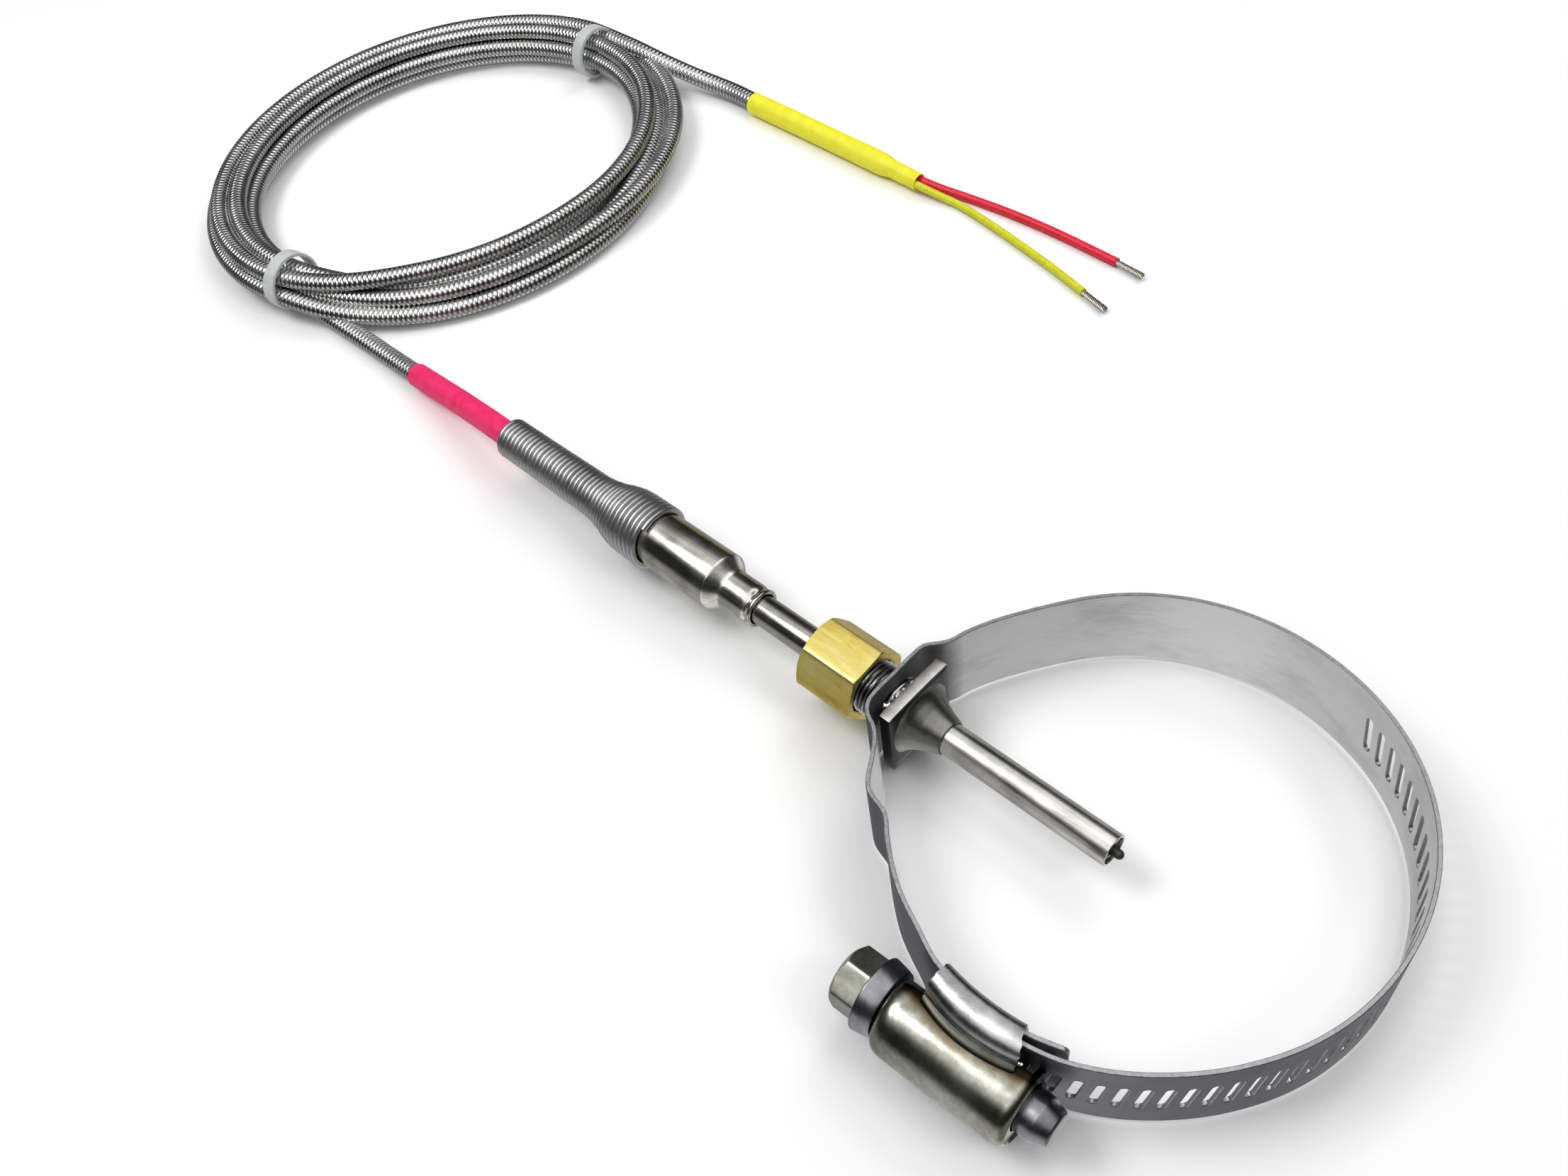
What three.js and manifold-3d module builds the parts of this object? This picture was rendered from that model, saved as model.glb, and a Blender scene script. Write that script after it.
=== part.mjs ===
// Band-clamp exhaust thermocouple with a coiled, steel-braided cable.
// Millimetres, +Z up, +X along the probe towards its tip.
// Design coordinates: x = 0 is abreast of the clamp loop's centre, y = 0 is the probe's axis,
// z = 0 is the band's lower edge. The whole group is moved at the end so that the origin is the
// bottom centre of everything but the cable.
import * as THREE from 'three';
import { mergeVertices } from 'three/addons/utils/BufferGeometryUtils.js';
import Module from 'manifold-3d';

const wasm = await Module();
wasm.setup();

// ---- driving dimensions ---------------------------------------------------------------------
const gap = 0.3;                 // between touching pieces
const bandWidth = 19.05;
const bandThickness = 0.8;
const axisZ = bandWidth / 2;     // the probe's and the screw's height
const loopY = 6.6;               // the loop's centre, x = 0
const loopRadius = 44.1;         // inside face of the band
const slotPitch = 3.33;
const slotLength = 8;
const slotWidth = 1.5;
const slotSlant = 0.17;          // radians
const slotFirst = 65.3;          // degrees round the loop, counted from +X
const slotCount = 40;

const tubeRadius = 3.175;
const tubeWall = 0.5;
const tubeBack = -108;
const tubeTip = -2;
const fittingBore = 3.475;

const plateSide = 16.4;
const plateInner = -44.8;        // face towards the pipe
const plateOuter = -46.9;
const neckEnd = -37.5;
const stubRadius = 5.55;         // 7/16 in thread, outside
const stubEnd = -61.5;
const pocketX = -49.9;           // inside face of the band where the stub passes through

const nutFront = -55.9;
const nutBack = -69.5;
const nutFlats = 14.29;          // 9/16 in across flats
const nutThreadBore = 5.85;

const sleeveBack = -123.2;
const sleeveSeat = 5.95;         // radius under the spring
const sleeveBarrel = 6.35;
const sleeveShoulder = -114.8;
const sleeveCone = -97.5;
const sleeveNeck = 4.2;
const sleeveFront = -85.5;

const springBack = -166.3;
const springFront = -115.2;
const springWire = 1.27;

const housingRing = 51;          // screw axis to loop centre
const housingAngle = -87;        // where the screw sits round the loop, degrees
const barrelRadius = 7.5;
const sheet = 0.9;

const tableZ = -1.2;             // the saddle's underside
const cableRadius = 2.3;
const coilX = -276.2;
const coilY = 63.6;
const coilRadius = 61.7;
const bundleRadius = 6.6;
const tieThickness = 1;
const tieWidth = 4;
const coilZ = tableZ + bundleRadius + gap + tieThickness + 0.1;

// ---- materials --------------------------------------------------------------------------------
function finish(color, roughness, metalness) {
  return new THREE.MeshStandardMaterial({ color, roughness, metalness });
}

const bright = () => finish(0xb9b8b2, 0.22, 1);
const satin = () => finish(0x8f8e8c, 0.38, 1);
const bandSteel = () => finish(0xb4b4b2, 0.45, 1);
const springSteel = () => finish(0x8c8b8a, 0.35, 1);
const brass = () => finish(0xcfae45, 0.3, 1);
const braid = () => finish(0x8e8e8e, 0.4, 1);

// ---- solids -----------------------------------------------------------------------------------
function toSolid(geometry) {
  const bare = geometry.clone();
  for (const key of Object.keys(bare.attributes)) {
    if (key !== 'position') bare.deleteAttribute(key);
  }
  const merged = mergeVertices(bare, 1e-4);
  const vertProperties = new Float32Array(merged.attributes.position.array);
  const all = merged.index.array;
  const kept = [];
  for (let i = 0; i < all.length; i += 3) {
    const [a, b, c] = [all[i], all[i + 1], all[i + 2]];
    if (a !== b && b !== c && a !== c) kept.push(a, b, c);
  }
  const at = (i) => new THREE.Vector3().fromArray(vertProperties, 3 * i);
  let volume = 0;
  for (let i = 0; i < kept.length; i += 3) {
    volume += at(kept[i]).dot(at(kept[i + 1]).cross(at(kept[i + 2])));
  }
  if (volume < 0) {
    for (let i = 0; i < kept.length; i += 3) {
      [kept[i], kept[i + 1]] = [kept[i + 1], kept[i]];
    }
  }
  return new wasm.Manifold(new wasm.Mesh({ numProp: 3, vertProperties, triVerts: new Uint32Array(kept) }));
}

function toMesh(name, solid, material) {
  const data = solid.getMesh();
  const geometry = new THREE.BufferGeometry();
  geometry.setAttribute('position', new THREE.BufferAttribute(new Float32Array(data.vertProperties), 3));
  geometry.setIndex(new THREE.BufferAttribute(new Uint32Array(data.triVerts), 1));
  geometry.computeVertexNormals();
  const mesh = new THREE.Mesh(geometry, material);
  mesh.name = name;
  return mesh;
}

// A turned solid about the X axis, from [x, radius] points. The outline closes on itself when
// it doesn't start on the axis.
function turned(points, sides = 24) {
  const outline = points.map(([x, r]) => new THREE.Vector2(r, x));
  if (points[0][1] > 0) outline.push(outline[0].clone());
  const geometry = new THREE.LatheGeometry(outline, sides);
  geometry.rotateZ(-Math.PI / 2);
  return toSolid(geometry);
}

function ringAlongX(x0, x1, inner, outer, sides = 24) {
  return turned([[x0, inner], [x0, outer], [x1, outer], [x1, inner]], sides);
}

function rodAlongX(x0, x1, radius, sides = 12) {
  return turned([[x0, 0], [x0, radius], [x1, radius], [x1, 0]], sides);
}

function block(x0, x1, y0, y1, z0, z1) {
  const geometry = new THREE.BoxGeometry(x1 - x0, y1 - y0, z1 - z0);
  geometry.translate((x0 + x1) / 2, (y0 + y1) / 2, (z0 + z1) / 2);
  return toSolid(geometry);
}

// A plan outline of [x, y] points, drawn up from z0 to z1.
function plate(points, z0, z1) {
  const shape = new THREE.Shape(points.map(([x, y]) => new THREE.Vector2(x, y)));
  const geometry = new THREE.ExtrudeGeometry(shape, { depth: z1 - z0, bevelEnabled: false, steps: 1 });
  geometry.translate(0, 0, z0);
  return toSolid(geometry);
}

function hexagonAlongX(x0, x1, flats, turn) {
  const corner = flats / Math.sqrt(3);
  const points = [];
  for (let i = 0; i < 6; i += 1) {
    const angle = turn + (i * Math.PI) / 3;
    points.push([corner * Math.cos(angle), corner * Math.sin(angle)]);
  }
  // The outline is drawn in (y, z) and stood up along X.
  const prism = plate(points, 0, x1 - x0);
  return prism.rotate([90, 0, 90]).translate([x0, 0, 0]);
}

// A closed tube of the given radii along a smooth curve through the points.
function alongRoute(points, radius, steps, sides = 8) {
  const curve = new THREE.CatmullRomCurve3(points.map((p) => new THREE.Vector3(...p)), false, 'centripetal');
  const shape = new THREE.Shape();
  for (let i = 0; i < sides; i += 1) {
    const angle = (2 * Math.PI * i) / sides;
    const [x, y] = [radius * Math.cos(angle), radius * Math.sin(angle)];
    if (i === 0) shape.moveTo(x, y);
    else shape.lineTo(x, y);
  }
  const geometry = new THREE.ExtrudeGeometry(shape, { extrudePath: curve, steps, bevelEnabled: false });
  return toSolid(geometry);
}

// ---- the band ---------------------------------------------------------------------------------
const radians = (degrees) => (degrees * Math.PI) / 180;
const onLoop = (degrees, radius) => [
  radius * Math.cos(radians(degrees)),
  loopY + radius * Math.sin(radians(degrees)),
];

// The inner layer's radius in the saddle and the outer, slotted layer's.
const innerLayer = 44.8;
const outerLayer = 46.2;

// Inside face of the strip from the far side, round the left to the tongue beyond the saddle:
// arcs given by [degrees, radius], and the pocket round the stub by its corners.
function fixedPath() {
  const far = [90.4, 96, 102, 108, 114, 120, 126, 132, 138, 144].map((a) => onLoop(a, 43.6));
  const shoulder = [[-39.4, 26.4], [-43.0, 20.6], [-45.4, 15.6], [-46.6, 11.6]];
  const pocket = [[-48.6, 9.4], [pocketX, 7.4], [pocketX, -6.6], [-49.1, -8.4]];
  const under = [[-47.0, -9.6], [-44.2, -11.6], [-41.4, -15.6], [-37.9, -20.6]];
  const near = [
    [222, 43.7], [228, 43.6], [234, 43.7], [240, 43.9], [246, 43.9], [250, 44.0], [254, 44.4],
    [258, innerLayer], [264, innerLayer], [270, innerLayer], [276, innerLayer - 0.1],
    [282, innerLayer - 0.3], [286, innerLayer - 0.5], [289, innerLayer - 0.6],
  ].map(([a, r]) => onLoop(a, r));
  return [...far, ...shoulder, ...pocket, ...under, ...near];
}

// Inside face of the slotted stretch, from the far side round the right to the tail.
function slottedPath() {
  const points = [];
  for (let a = 89.6; a > -52; a -= 5.27) {
    const swell = 0.35 * Math.sin(radians(2 * a)) ** 2;
    points.push(onLoop(a, 43.6 + swell));
  }
  const rise = [[-56, 43.9], [-59, 44.5], [-62, 45.15], [-65, 45.8], [-68, 46.15], [-72, outerLayer]];
  for (const [a, r] of rise) points.push(onLoop(a, r));
  for (const a of [-78, -82, -86, -90, -94, -98, -101]) points.push(onLoop(a, outerLayer));
  return points;
}

// The strip's solid: the inside face, and the outside face one thickness away from it.
function strip(path, thickness) {
  const outside = path.map((point, i) => {
    const before = path[Math.max(i - 1, 0)];
    const after = path[Math.min(i + 1, path.length - 1)];
    const [dx, dy] = [after[0] - before[0], after[1] - before[1]];
    const length = Math.hypot(dx, dy);
    let normal = [dy / length, -dx / length];
    const outward = normal[0] * point[0] + normal[1] * (point[1] - loopY);
    if (outward < 0) normal = [-normal[0], -normal[1]];
    return [point[0] + normal[0] * thickness, point[1] + normal[1] * thickness];
  });
  return plate([...path, ...outside.reverse()], 0, bandWidth);
}

function slotCutter(degrees) {
  const half = slotLength / 2;
  const flat = slotWidth / 2;
  const round = slotWidth * 0.35;
  const outline = [
    [-flat, -half + round], [0, -half], [flat, -half + round],
    [flat, half - round], [0, half], [-flat, half - round],
  ];
  const cutterDepth = 8;
  // Drawn in (sideways, up), leaned, then stood up radially.
  return plate(outline, 0, cutterDepth)
    .rotate([0, 0, (-slotSlant * 180) / Math.PI])
    .rotate([90, 0, 90])
    .translate([loopRadius - cutterDepth / 2 + 1, 0, axisZ])
    .rotate([0, 0, degrees])
    .translate([0, loopY, 0]);
}

function bandFixed() {
  const hole = rodAlongX(pocketX - 4, pocketX + 4, stubRadius + gap, 32).translate([0, 0, axisZ]);
  return toMesh('band_fixed', strip(fixedPath(), bandThickness).subtract(hole), bandSteel());
}

function bandSlotted() {
  let solid = strip(slottedPath(), bandThickness);
  const step = (slotPitch / (loopRadius + bandThickness)) * (180 / Math.PI);
  const cutters = [];
  for (let i = 0; i < slotCount; i += 1) {
    const degrees = slotFirst - i * step;
    if (degrees > -99) cutters.push(slotCutter(degrees));
  }
  solid = solid.subtract(wasm.Manifold.union(cutters));
  return toMesh('band_slotted', solid, bandSteel());
}

// ---- the fitting through the band -----------------------------------------------------------------
const onAxis = (solid) => solid.translate([0, 0, axisZ]);

function bandBung() {
  const half = plateSide / 2;
  const square = block(plateOuter, plateInner, -half, half, -half, half);
  const neck = turned([
    [plateOuter, 0], [plateOuter, 7.4], [plateInner, 7.4], [-44.0, 6.6], [-43.1, 5.85],
    [-41.6, 5.05], [-39.8, 4.35], [-38.4, 3.95], [neckEnd, 3.8], [neckEnd, 0],
  ]);
  const stub = turned([
    [stubEnd, 0], [stubEnd, 4.9], [stubEnd + 0.7, stubRadius], [plateOuter + 0.5, stubRadius],
    [plateOuter + 0.5, 0],
  ]);
  const bore = rodAlongX(stubEnd - 1, neckEnd + 1, fittingBore, 32);
  return toMesh('band_bung', onAxis(square.add(neck).add(stub).subtract(bore)), satin());
}

function compressionNut() {
  const hexagon = hexagonAlongX(nutBack, nutFront, nutFlats, radians(37.7));
  const chamfer = turned([
    [nutBack, 0], [nutBack, 6.6], [nutBack + 1.1, 8.3], [nutFront - 0.5, 8.3], [nutFront, 7.5],
    [nutFront, 0],
  ], 36);
  const bore = turned([
    [nutBack - 1, 0], [nutBack - 1, fittingBore], [-67.6, fittingBore], [-66.2, 5.1],
    [-64.6, nutThreadBore], [nutFront + 1, nutThreadBore], [nutFront + 1, 0],
  ]);
  return toMesh('compression_nut', onAxis(hexagon.intersect(chamfer).subtract(bore)), brass());
}

function ferrule() {
  const solid = turned([
    [-65.9, fittingBore], [-65.5, 4.55], [-64.3, 4.75], [-62.6, 4.6], [-61.9, 3.85],
    [-61.9, fittingBore],
  ]);
  return toMesh('ferrule', onAxis(solid), brass());
}

// ---- the probe --------------------------------------------------------------------------------------
const insulatorRadius = 2.2;
const wireOffset = 0.75;
const wireRadius = 0.25;
const splice = { start: -111.5, end: -105, offset: 1.5, radius: 1 };

function probeTube() {
  return toMesh('probe_tube', onAxis(ringAlongX(tubeBack, tubeTip, tubeRadius - tubeWall, tubeRadius)), bright());
}

function tipPlug() {
  const outer = tubeRadius - tubeWall - 0.2;
  return toMesh('tip_plug', onAxis(ringAlongX(-5, -2.6, 1.3, outer)), satin());
}

function junctionBead() {
  const bead = turned([[-4.2, 0], [-4.2, 1.0], [0.2, 1.0], [0.7, 0.75], [0.95, 0.35], [0.95, 0]], 20);
  return toMesh('junction_bead', onAxis(bead), finish(0x4a4746, 0.55, 0.8));
}

function ceramicInsulator() {
  const rod = rodAlongX(-102, -5.4, insulatorRadius, 20);
  const bores = [-1, 1].map((side) => (
    rodAlongX(-103, -4, wireRadius + 0.15, 8).translate([0, side * wireOffset, 0])
  ));
  return toMesh('ceramic_insulator', onAxis(rod.subtract(bores[0]).subtract(bores[1])), finish(0xe9e4d6, 0.8, 0));
}

function thermoWire(name, side, color) {
  const wire = rodAlongX(splice.end + gap, -4.5, wireRadius, 8).translate([0, side * wireOffset, 0]);
  return toMesh(name, onAxis(wire), finish(color, 0.4, 1));
}

function spliceSleeve(name, side) {
  const sleeve = rodAlongX(splice.start, splice.end, splice.radius, 12);
  return toMesh(name, onAxis(sleeve.translate([0, side * splice.offset, 0])), finish(0xa8a6a0, 0.4, 1));
}

function pottingPlug() {
  return toMesh('potting_plug', onAxis(rodAlongX(-122.6, -112, 5.1, 24)), finish(0x3a3633, 0.8, 0));
}

function transitionSleeve() {
  const wall = 0.6;
  const solid = turned([
    [sleeveBack, sleeveSeat - wall], [sleeveBack, sleeveSeat], [sleeveShoulder, sleeveSeat],
    [sleeveShoulder, sleeveBarrel], [sleeveCone, sleeveBarrel], [-96.1, 6.0], [-93.9, 4.45],
    [-93.2, sleeveNeck], [-87.6, sleeveNeck], [-87.2, 3.95], [-86.5, 3.95], [-86.2, sleeveNeck],
    [sleeveFront, sleeveNeck], [sleeveFront, fittingBore], [-95.5, fittingBore],
    [-98, sleeveSeat - wall],
  ], 28);
  return toMesh('transition_sleeve', onAxis(solid), bright());
}

// The coils lie wire to wire, so this solid is their envelope.
function reliefSpring() {
  const outside = [[springBack, 4.7], [-135.7, 5.0], [-131, 5.7], [-127.6, 6.9], [-124.8, 7.45]];
  const last = [springFront, 7.45];
  const inside = [...outside, last].map(([x, r]) => [x, r - springWire]).reverse();
  return toMesh('relief_spring', onAxis(turned([...outside, last, ...inside], 24)), springSteel());
}

// ---- the cable ------------------------------------------------------------------------------------------
const cableZ = tableZ + cableRadius + 0.2;

// The cable's way from the sleeve to the coil.
const leadA = [
  [-124, 0, axisZ], [-140, 0, axisZ], [-155, 0, 9.5], [-166, 0.1, 9.2], [-178, 0.8, 7.9],
  [-190, 1.7, 5.8], [-202, 2.5, 3.6], [-214, 3.0, 2.0], [-226, 3.2, cableZ], [-243, 3.2, cableZ],
];

// The cable's way from the coil into the yellow sleeve, and each conductor's from there on.
const sleeveZ = tableZ + 3.2;
const leadB = [
  [-284, 134.5, cableZ], [-272, 134.4, cableZ], [-263, 134.4, cableZ], [-256.3, 135.4, cableZ],
  [-250, 137.3, cableZ], [-242.8, 138.1, cableZ], [-233, 138, cableZ + 0.1], [-223, 136.9, sleeveZ - 0.3],
  [-205, 136.2, sleeveZ], [-188, 135.5, sleeveZ],
];
const wireZ = tableZ + 1.3;
const redRoute = [
  [-187, 136.6, sleeveZ], [-168, 135.85, sleeveZ], [-158.5, 135.6, sleeveZ - 0.4], [-152, 136.6, 0.8],
  [-145, 138.1, wireZ],
  [-130.6, 139.1, wireZ], [-116, 139.1, wireZ], [-97.7, 138.1, wireZ],
];
const yellowRoute = [
  [-187, 134.3, sleeveZ], [-168, 133.6, sleeveZ], [-158.5, 133.35, sleeveZ - 0.4], [-152, 133.9, 0.8],
  [-145, 134.4, wireZ],
  [-134.3, 132.8, wireZ], [-121.2, 130.1, wireZ], [-108.7, 127.2, wireZ], [-97.8, 124.2, wireZ],
];

function cableLead(name, route, steps) {
  return toMesh(name, alongRoute(route, cableRadius, steps, 8), braid());
}


// The same route run on a millimetre past both ends, for cutting a bore.
function longer(route) {
  const past = (end, next) => {
    const a = new THREE.Vector3(...end);
    const way = a.clone().sub(new THREE.Vector3(...next)).normalize();
    return a.add(way).toArray();
  };
  const last = route.length - 1;
  return [past(route[0], route[1]), ...route.slice(1, last), past(route[last], route[last - 1])];
}

function heatShrinkRed() {
  const route = [[-128, 0, axisZ], [-140, 0, axisZ], ...leadA.slice(2, 7), [-210, 2.86, 2.5]];
  const sleeve = alongRoute(route, 3, 12, 10).subtract(alongRoute(longer(route), cableRadius + 0.25, 12, 10));
  return toMesh('heat_shrink_red', sleeve, finish(0xf0285f, 0.6, 0));
}

function heatShrinkYellow() {
  const wide = [[-223, 136.9, sleeveZ - 0.15], [-205, 136.2, sleeveZ], [-167, 134.7, sleeveZ]];
  const narrow = [[-168, 134.74, sleeveZ], [-158.5, 134.5, sleeveZ - 0.4]];
  const outer = alongRoute(wide, 3.05, 6, 12).add(alongRoute(narrow, 2.85, 1, 12));
  const bore = alongRoute(longer(wide), 2.62, 6, 12).add(alongRoute(longer(narrow), 2.62, 1, 12));
  const sleeve = outer.subtract(bore);
  return toMesh('heat_shrink_yellow', sleeve, finish(0xf2e02a, 0.55, 0));
}

function cableCoil() {
  const section = [];
  const sides = 8;
  for (let i = 0; i <= sides; i += 1) {
    const angle = (2 * Math.PI * i) / sides;
    section.push(new THREE.Vector2(
      coilRadius + bundleRadius * Math.cos(angle),
      bundleRadius * Math.sin(angle),
    ));
  }
  const ring = new THREE.LatheGeometry(section, 40);
  ring.rotateX(Math.PI / 2);
  ring.translate(coilX, coilY, coilZ);
  return toMesh('cable_coil', toSolid(ring), braid());
}

// A tie hugs the bundle at the given angle round the coil.
function cableTie(name, degrees) {
  const inner = bundleRadius + gap;
  const ring = ringAlongX(-tieWidth / 2, tieWidth / 2, inner, inner + tieThickness, 16);
  const placed = ring.rotate([0, 0, 90]).translate([coilRadius, 0, 0]).rotate([0, 0, degrees]);
  return toMesh(name, placed.translate([coilX, coilY, coilZ]), finish(0xdfe3df, 0.4, 0));
}

function conductor(name, route, radius, color) {
  return toMesh(name, alongRoute(route, radius, 14, 8), finish(color, 0.5, 0));
}

function strands(name, from, to, radius) {
  const start = [from[0] + gap, from[1] + (to[1] - from[1]) * 0.04, from[2]];
  return toMesh(name, alongRoute([start, to], radius, 2, 8), finish(0xc9c6bd, 0.3, 1));
}

// ---- the clamp's head -------------------------------------------------------------------------------------
// Local frame: x along the screw, y towards the loop's centre, z up, origin on the screw's axis.
const screwPlace = onLoop(housingAngle, housingRing);
const inHead = (solid) => (
  solid.translate([0, 0, axisZ]).rotate([0, 0, housingAngle + 90]).translate([...screwPlace, 0])
);

function sector(r0, r1, from, to, z0, z1) {
  const count = 7;
  const turnAt = (i) => from + ((to - from) * i) / (count - 1);
  const inner = Array.from({ length: count }, (_, i) => onLoop(turnAt(i), r0));
  const outer = Array.from({ length: count }, (_, i) => onLoop(turnAt(count - 1 - i), r1));
  return plate([...inner, ...outer], z0, z1);
}

function saddleStrap() {
  const [from, to] = [housingAngle - 12.5, housingAngle + 7.1];
  const [low, high] = [tableZ, bandWidth - tableZ];
  const [face, back] = [43.7, 48.5];
  const solid = sector(face, face + sheet - 0.1, from, to, low, high)
    .add(sector(face, back, from, to, high - sheet, high))
    .add(sector(face, back, from, to, low, low + sheet))
    .add(sector(back - sheet, back, from, to, high - 3.4, high))
    .add(sector(back - sheet, back, from, to, low, low + 3.4));
  return toMesh('saddle_strap', solid, satin());
}

function wormHousing() {
  const [left, right] = [-14.6, 10.3];
  const mouth = 2.1;             // how far the barrel reaches towards the band
  const shell = ringAlongX(left, right, barrelRadius - sheet, barrelRadius, 32);
  const endWall = ringAlongX(right - sheet, right, 4.3, barrelRadius - sheet / 2, 32);
  const open = block(left - 1, right + 1, mouth, 20, -20, 20);
  const foot = (side) => {
    const [z0, z1] = [Math.min(side * 6.9, side * 9.4), Math.max(side * 6.9, side * 9.4)];
    return block(left + 5, right - 4.9, mouth - sheet, mouth, z0, z1);
  };
  const solid = shell.add(endWall).subtract(open).add(foot(1)).add(foot(-1));
  return toMesh('worm_housing', inHead(solid), satin());
}

function wormScrew() {
  const [crest, root] = [3.3, 2.6];
  const worm = [];
  for (let x = -12.6; x < 8; x += slotPitch) {
    worm.push([x, root], [x + 1.1, crest], [x + 2.2, root]);
  }
  const body = turned([
    [-19.2, 0], [-19.2, 6.75], [-15.4, 6.1], [-14.9, 5.4], [-13.6, 5.4], [-13.6, root],
    ...worm, [9.1, root], [9.1, 3.95], [13.1, 3.95], [15.7, 3.05], [15.95, 2.7], [15.95, 0],
  ], 16);
  const hexagon = hexagonAlongX(-24.7, -19.0, 10.3, radians(0));
  const chamfer = turned([[-24.7, 0], [-24.7, 4.9], [-23.8, 6.2], [-19, 6.2], [-19, 0]], 24);
  return toMesh('worm_screw', inHead(body.add(hexagon.intersect(chamfer))), satin());
}

// ---- assembly -----------------------------------------------------------------------------------------------
const clampBody = [bandBung(), bandFixed(), saddleStrap(), wormHousing()];
const movingClamp = [bandSlotted(), wormScrew(), compressionNut(), ferrule()];
const probe = [
  probeTube(), tipPlug(), junctionBead(), ceramicInsulator(),
  thermoWire('thermo_wire_positive', 1, 0x9c9a94), thermoWire('thermo_wire_negative', -1, 0x8b8580),
  spliceSleeve('splice_sleeve_positive', 1), spliceSleeve('splice_sleeve_negative', -1),
  pottingPlug(), transitionSleeve(), reliefSpring(),
];
const cable = [
  heatShrinkRed(), cableLead('cable_lead_a', leadA, 16), cableCoil(), cableLead('cable_lead_b', leadB, 14),
  cableTie('cable_tie_near', -79.8), cableTie('cable_tie_far', 93.2), heatShrinkYellow(),
  conductor('conductor_red', redRoute, 1.1, 0xd4213f), conductor('conductor_yellow', yellowRoute, 1, 0xd8d820),
  strands('strands_red', redRoute.at(-1), [-89.4, 137.2, wireZ], 0.75),
  strands('strands_yellow', yellowRoute.at(-1), [-89.6, 121.9, wireZ], 0.75),
];

const assembly = new THREE.Group();
assembly.add(...clampBody, ...movingClamp, ...probe);
assembly.updateMatrixWorld(true);
const box = new THREE.Box3().setFromObject(assembly, true);
assembly.add(...cable);
assembly.position.set(-(box.min.x + box.max.x) / 2, -(box.min.y + box.max.y) / 2, -box.min.z);

const part = new THREE.Group();
part.add(assembly);
part.updateMatrixWorld(true);

export default part;
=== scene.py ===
"""A band-clamp thermocouple with a coiled, steel-braided cable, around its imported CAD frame.

Lengths are millimetres in the design's own axes until put() turns them into the row's metres:
x along the probe towards its tip and 0 abreast of the clamp loop's centre, y = 0 on the probe's
axis, z = 0 on the band's lower edge.
"""
import math

import bpy
import numpy as np
from mathutils import Matrix, Vector, geometry


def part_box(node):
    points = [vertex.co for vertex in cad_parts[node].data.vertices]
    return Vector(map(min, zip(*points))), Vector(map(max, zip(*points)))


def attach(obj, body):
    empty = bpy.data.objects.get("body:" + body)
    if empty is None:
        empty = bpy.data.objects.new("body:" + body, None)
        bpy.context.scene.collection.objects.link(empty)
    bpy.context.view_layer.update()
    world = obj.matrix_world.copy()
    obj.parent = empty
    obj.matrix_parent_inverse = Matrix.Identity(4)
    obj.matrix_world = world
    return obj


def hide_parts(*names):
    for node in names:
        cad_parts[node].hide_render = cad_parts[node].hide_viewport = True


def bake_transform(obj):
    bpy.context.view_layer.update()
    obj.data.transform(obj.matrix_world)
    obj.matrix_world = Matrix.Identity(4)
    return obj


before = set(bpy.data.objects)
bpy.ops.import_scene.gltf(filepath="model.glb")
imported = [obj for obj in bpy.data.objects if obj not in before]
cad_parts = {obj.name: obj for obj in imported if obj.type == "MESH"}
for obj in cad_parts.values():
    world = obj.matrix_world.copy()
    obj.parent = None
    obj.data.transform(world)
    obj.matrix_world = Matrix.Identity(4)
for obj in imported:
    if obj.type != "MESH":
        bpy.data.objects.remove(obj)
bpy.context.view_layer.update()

MM = 0.001

# ---- design dimensions --------------------------------------------------------------------------
BAND_WIDTH = 19.05
BAND_THICKNESS = 0.8
AXIS_Z = BAND_WIDTH / 2
LOOP_Y = 6.6
SLOT_PITCH = 3.33
SLOT_FIRST = 65.3            # degrees round the loop
SLOT = (8.2, 1.55, 0.17)     # length, width and lean
STUB_HOLE = (11.7, 11.69, 0.0)
TUBE_TIP = -2.0
TABLE_Z = -1.2
CABLE_WIDTH = 5.1
CABLE_HEIGHT = 4.3
BRAID_PICK = 1.3             # one crossing to the next along the cable
BRAID_CARRIERS = 4           # bundles of wire each way round
COIL = (-276.2, 63.6)
COIL_RADIUS = 61.7
COIL_TURNS = 6.5
HEAD_ANGLE = -87.0           # where the screw sits round the loop
HEAD_RING = 51.0             # from the loop's centre to the screw's axis

tube_low, tube_high = (np.array(c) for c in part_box("probe_tube"))
ORIGIN = np.array([
    tube_high[0] / MM - TUBE_TIP,
    (tube_low[1] + tube_high[1]) / 2 / MM,
    (tube_low[2] + tube_high[2]) / 2 / MM - AXIS_Z,
])
random = np.random.default_rng(7)


def put(points):
    """Design millimetres to the row's metres."""
    return (np.asarray(points, dtype=float) + ORIGIN) * MM


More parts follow.
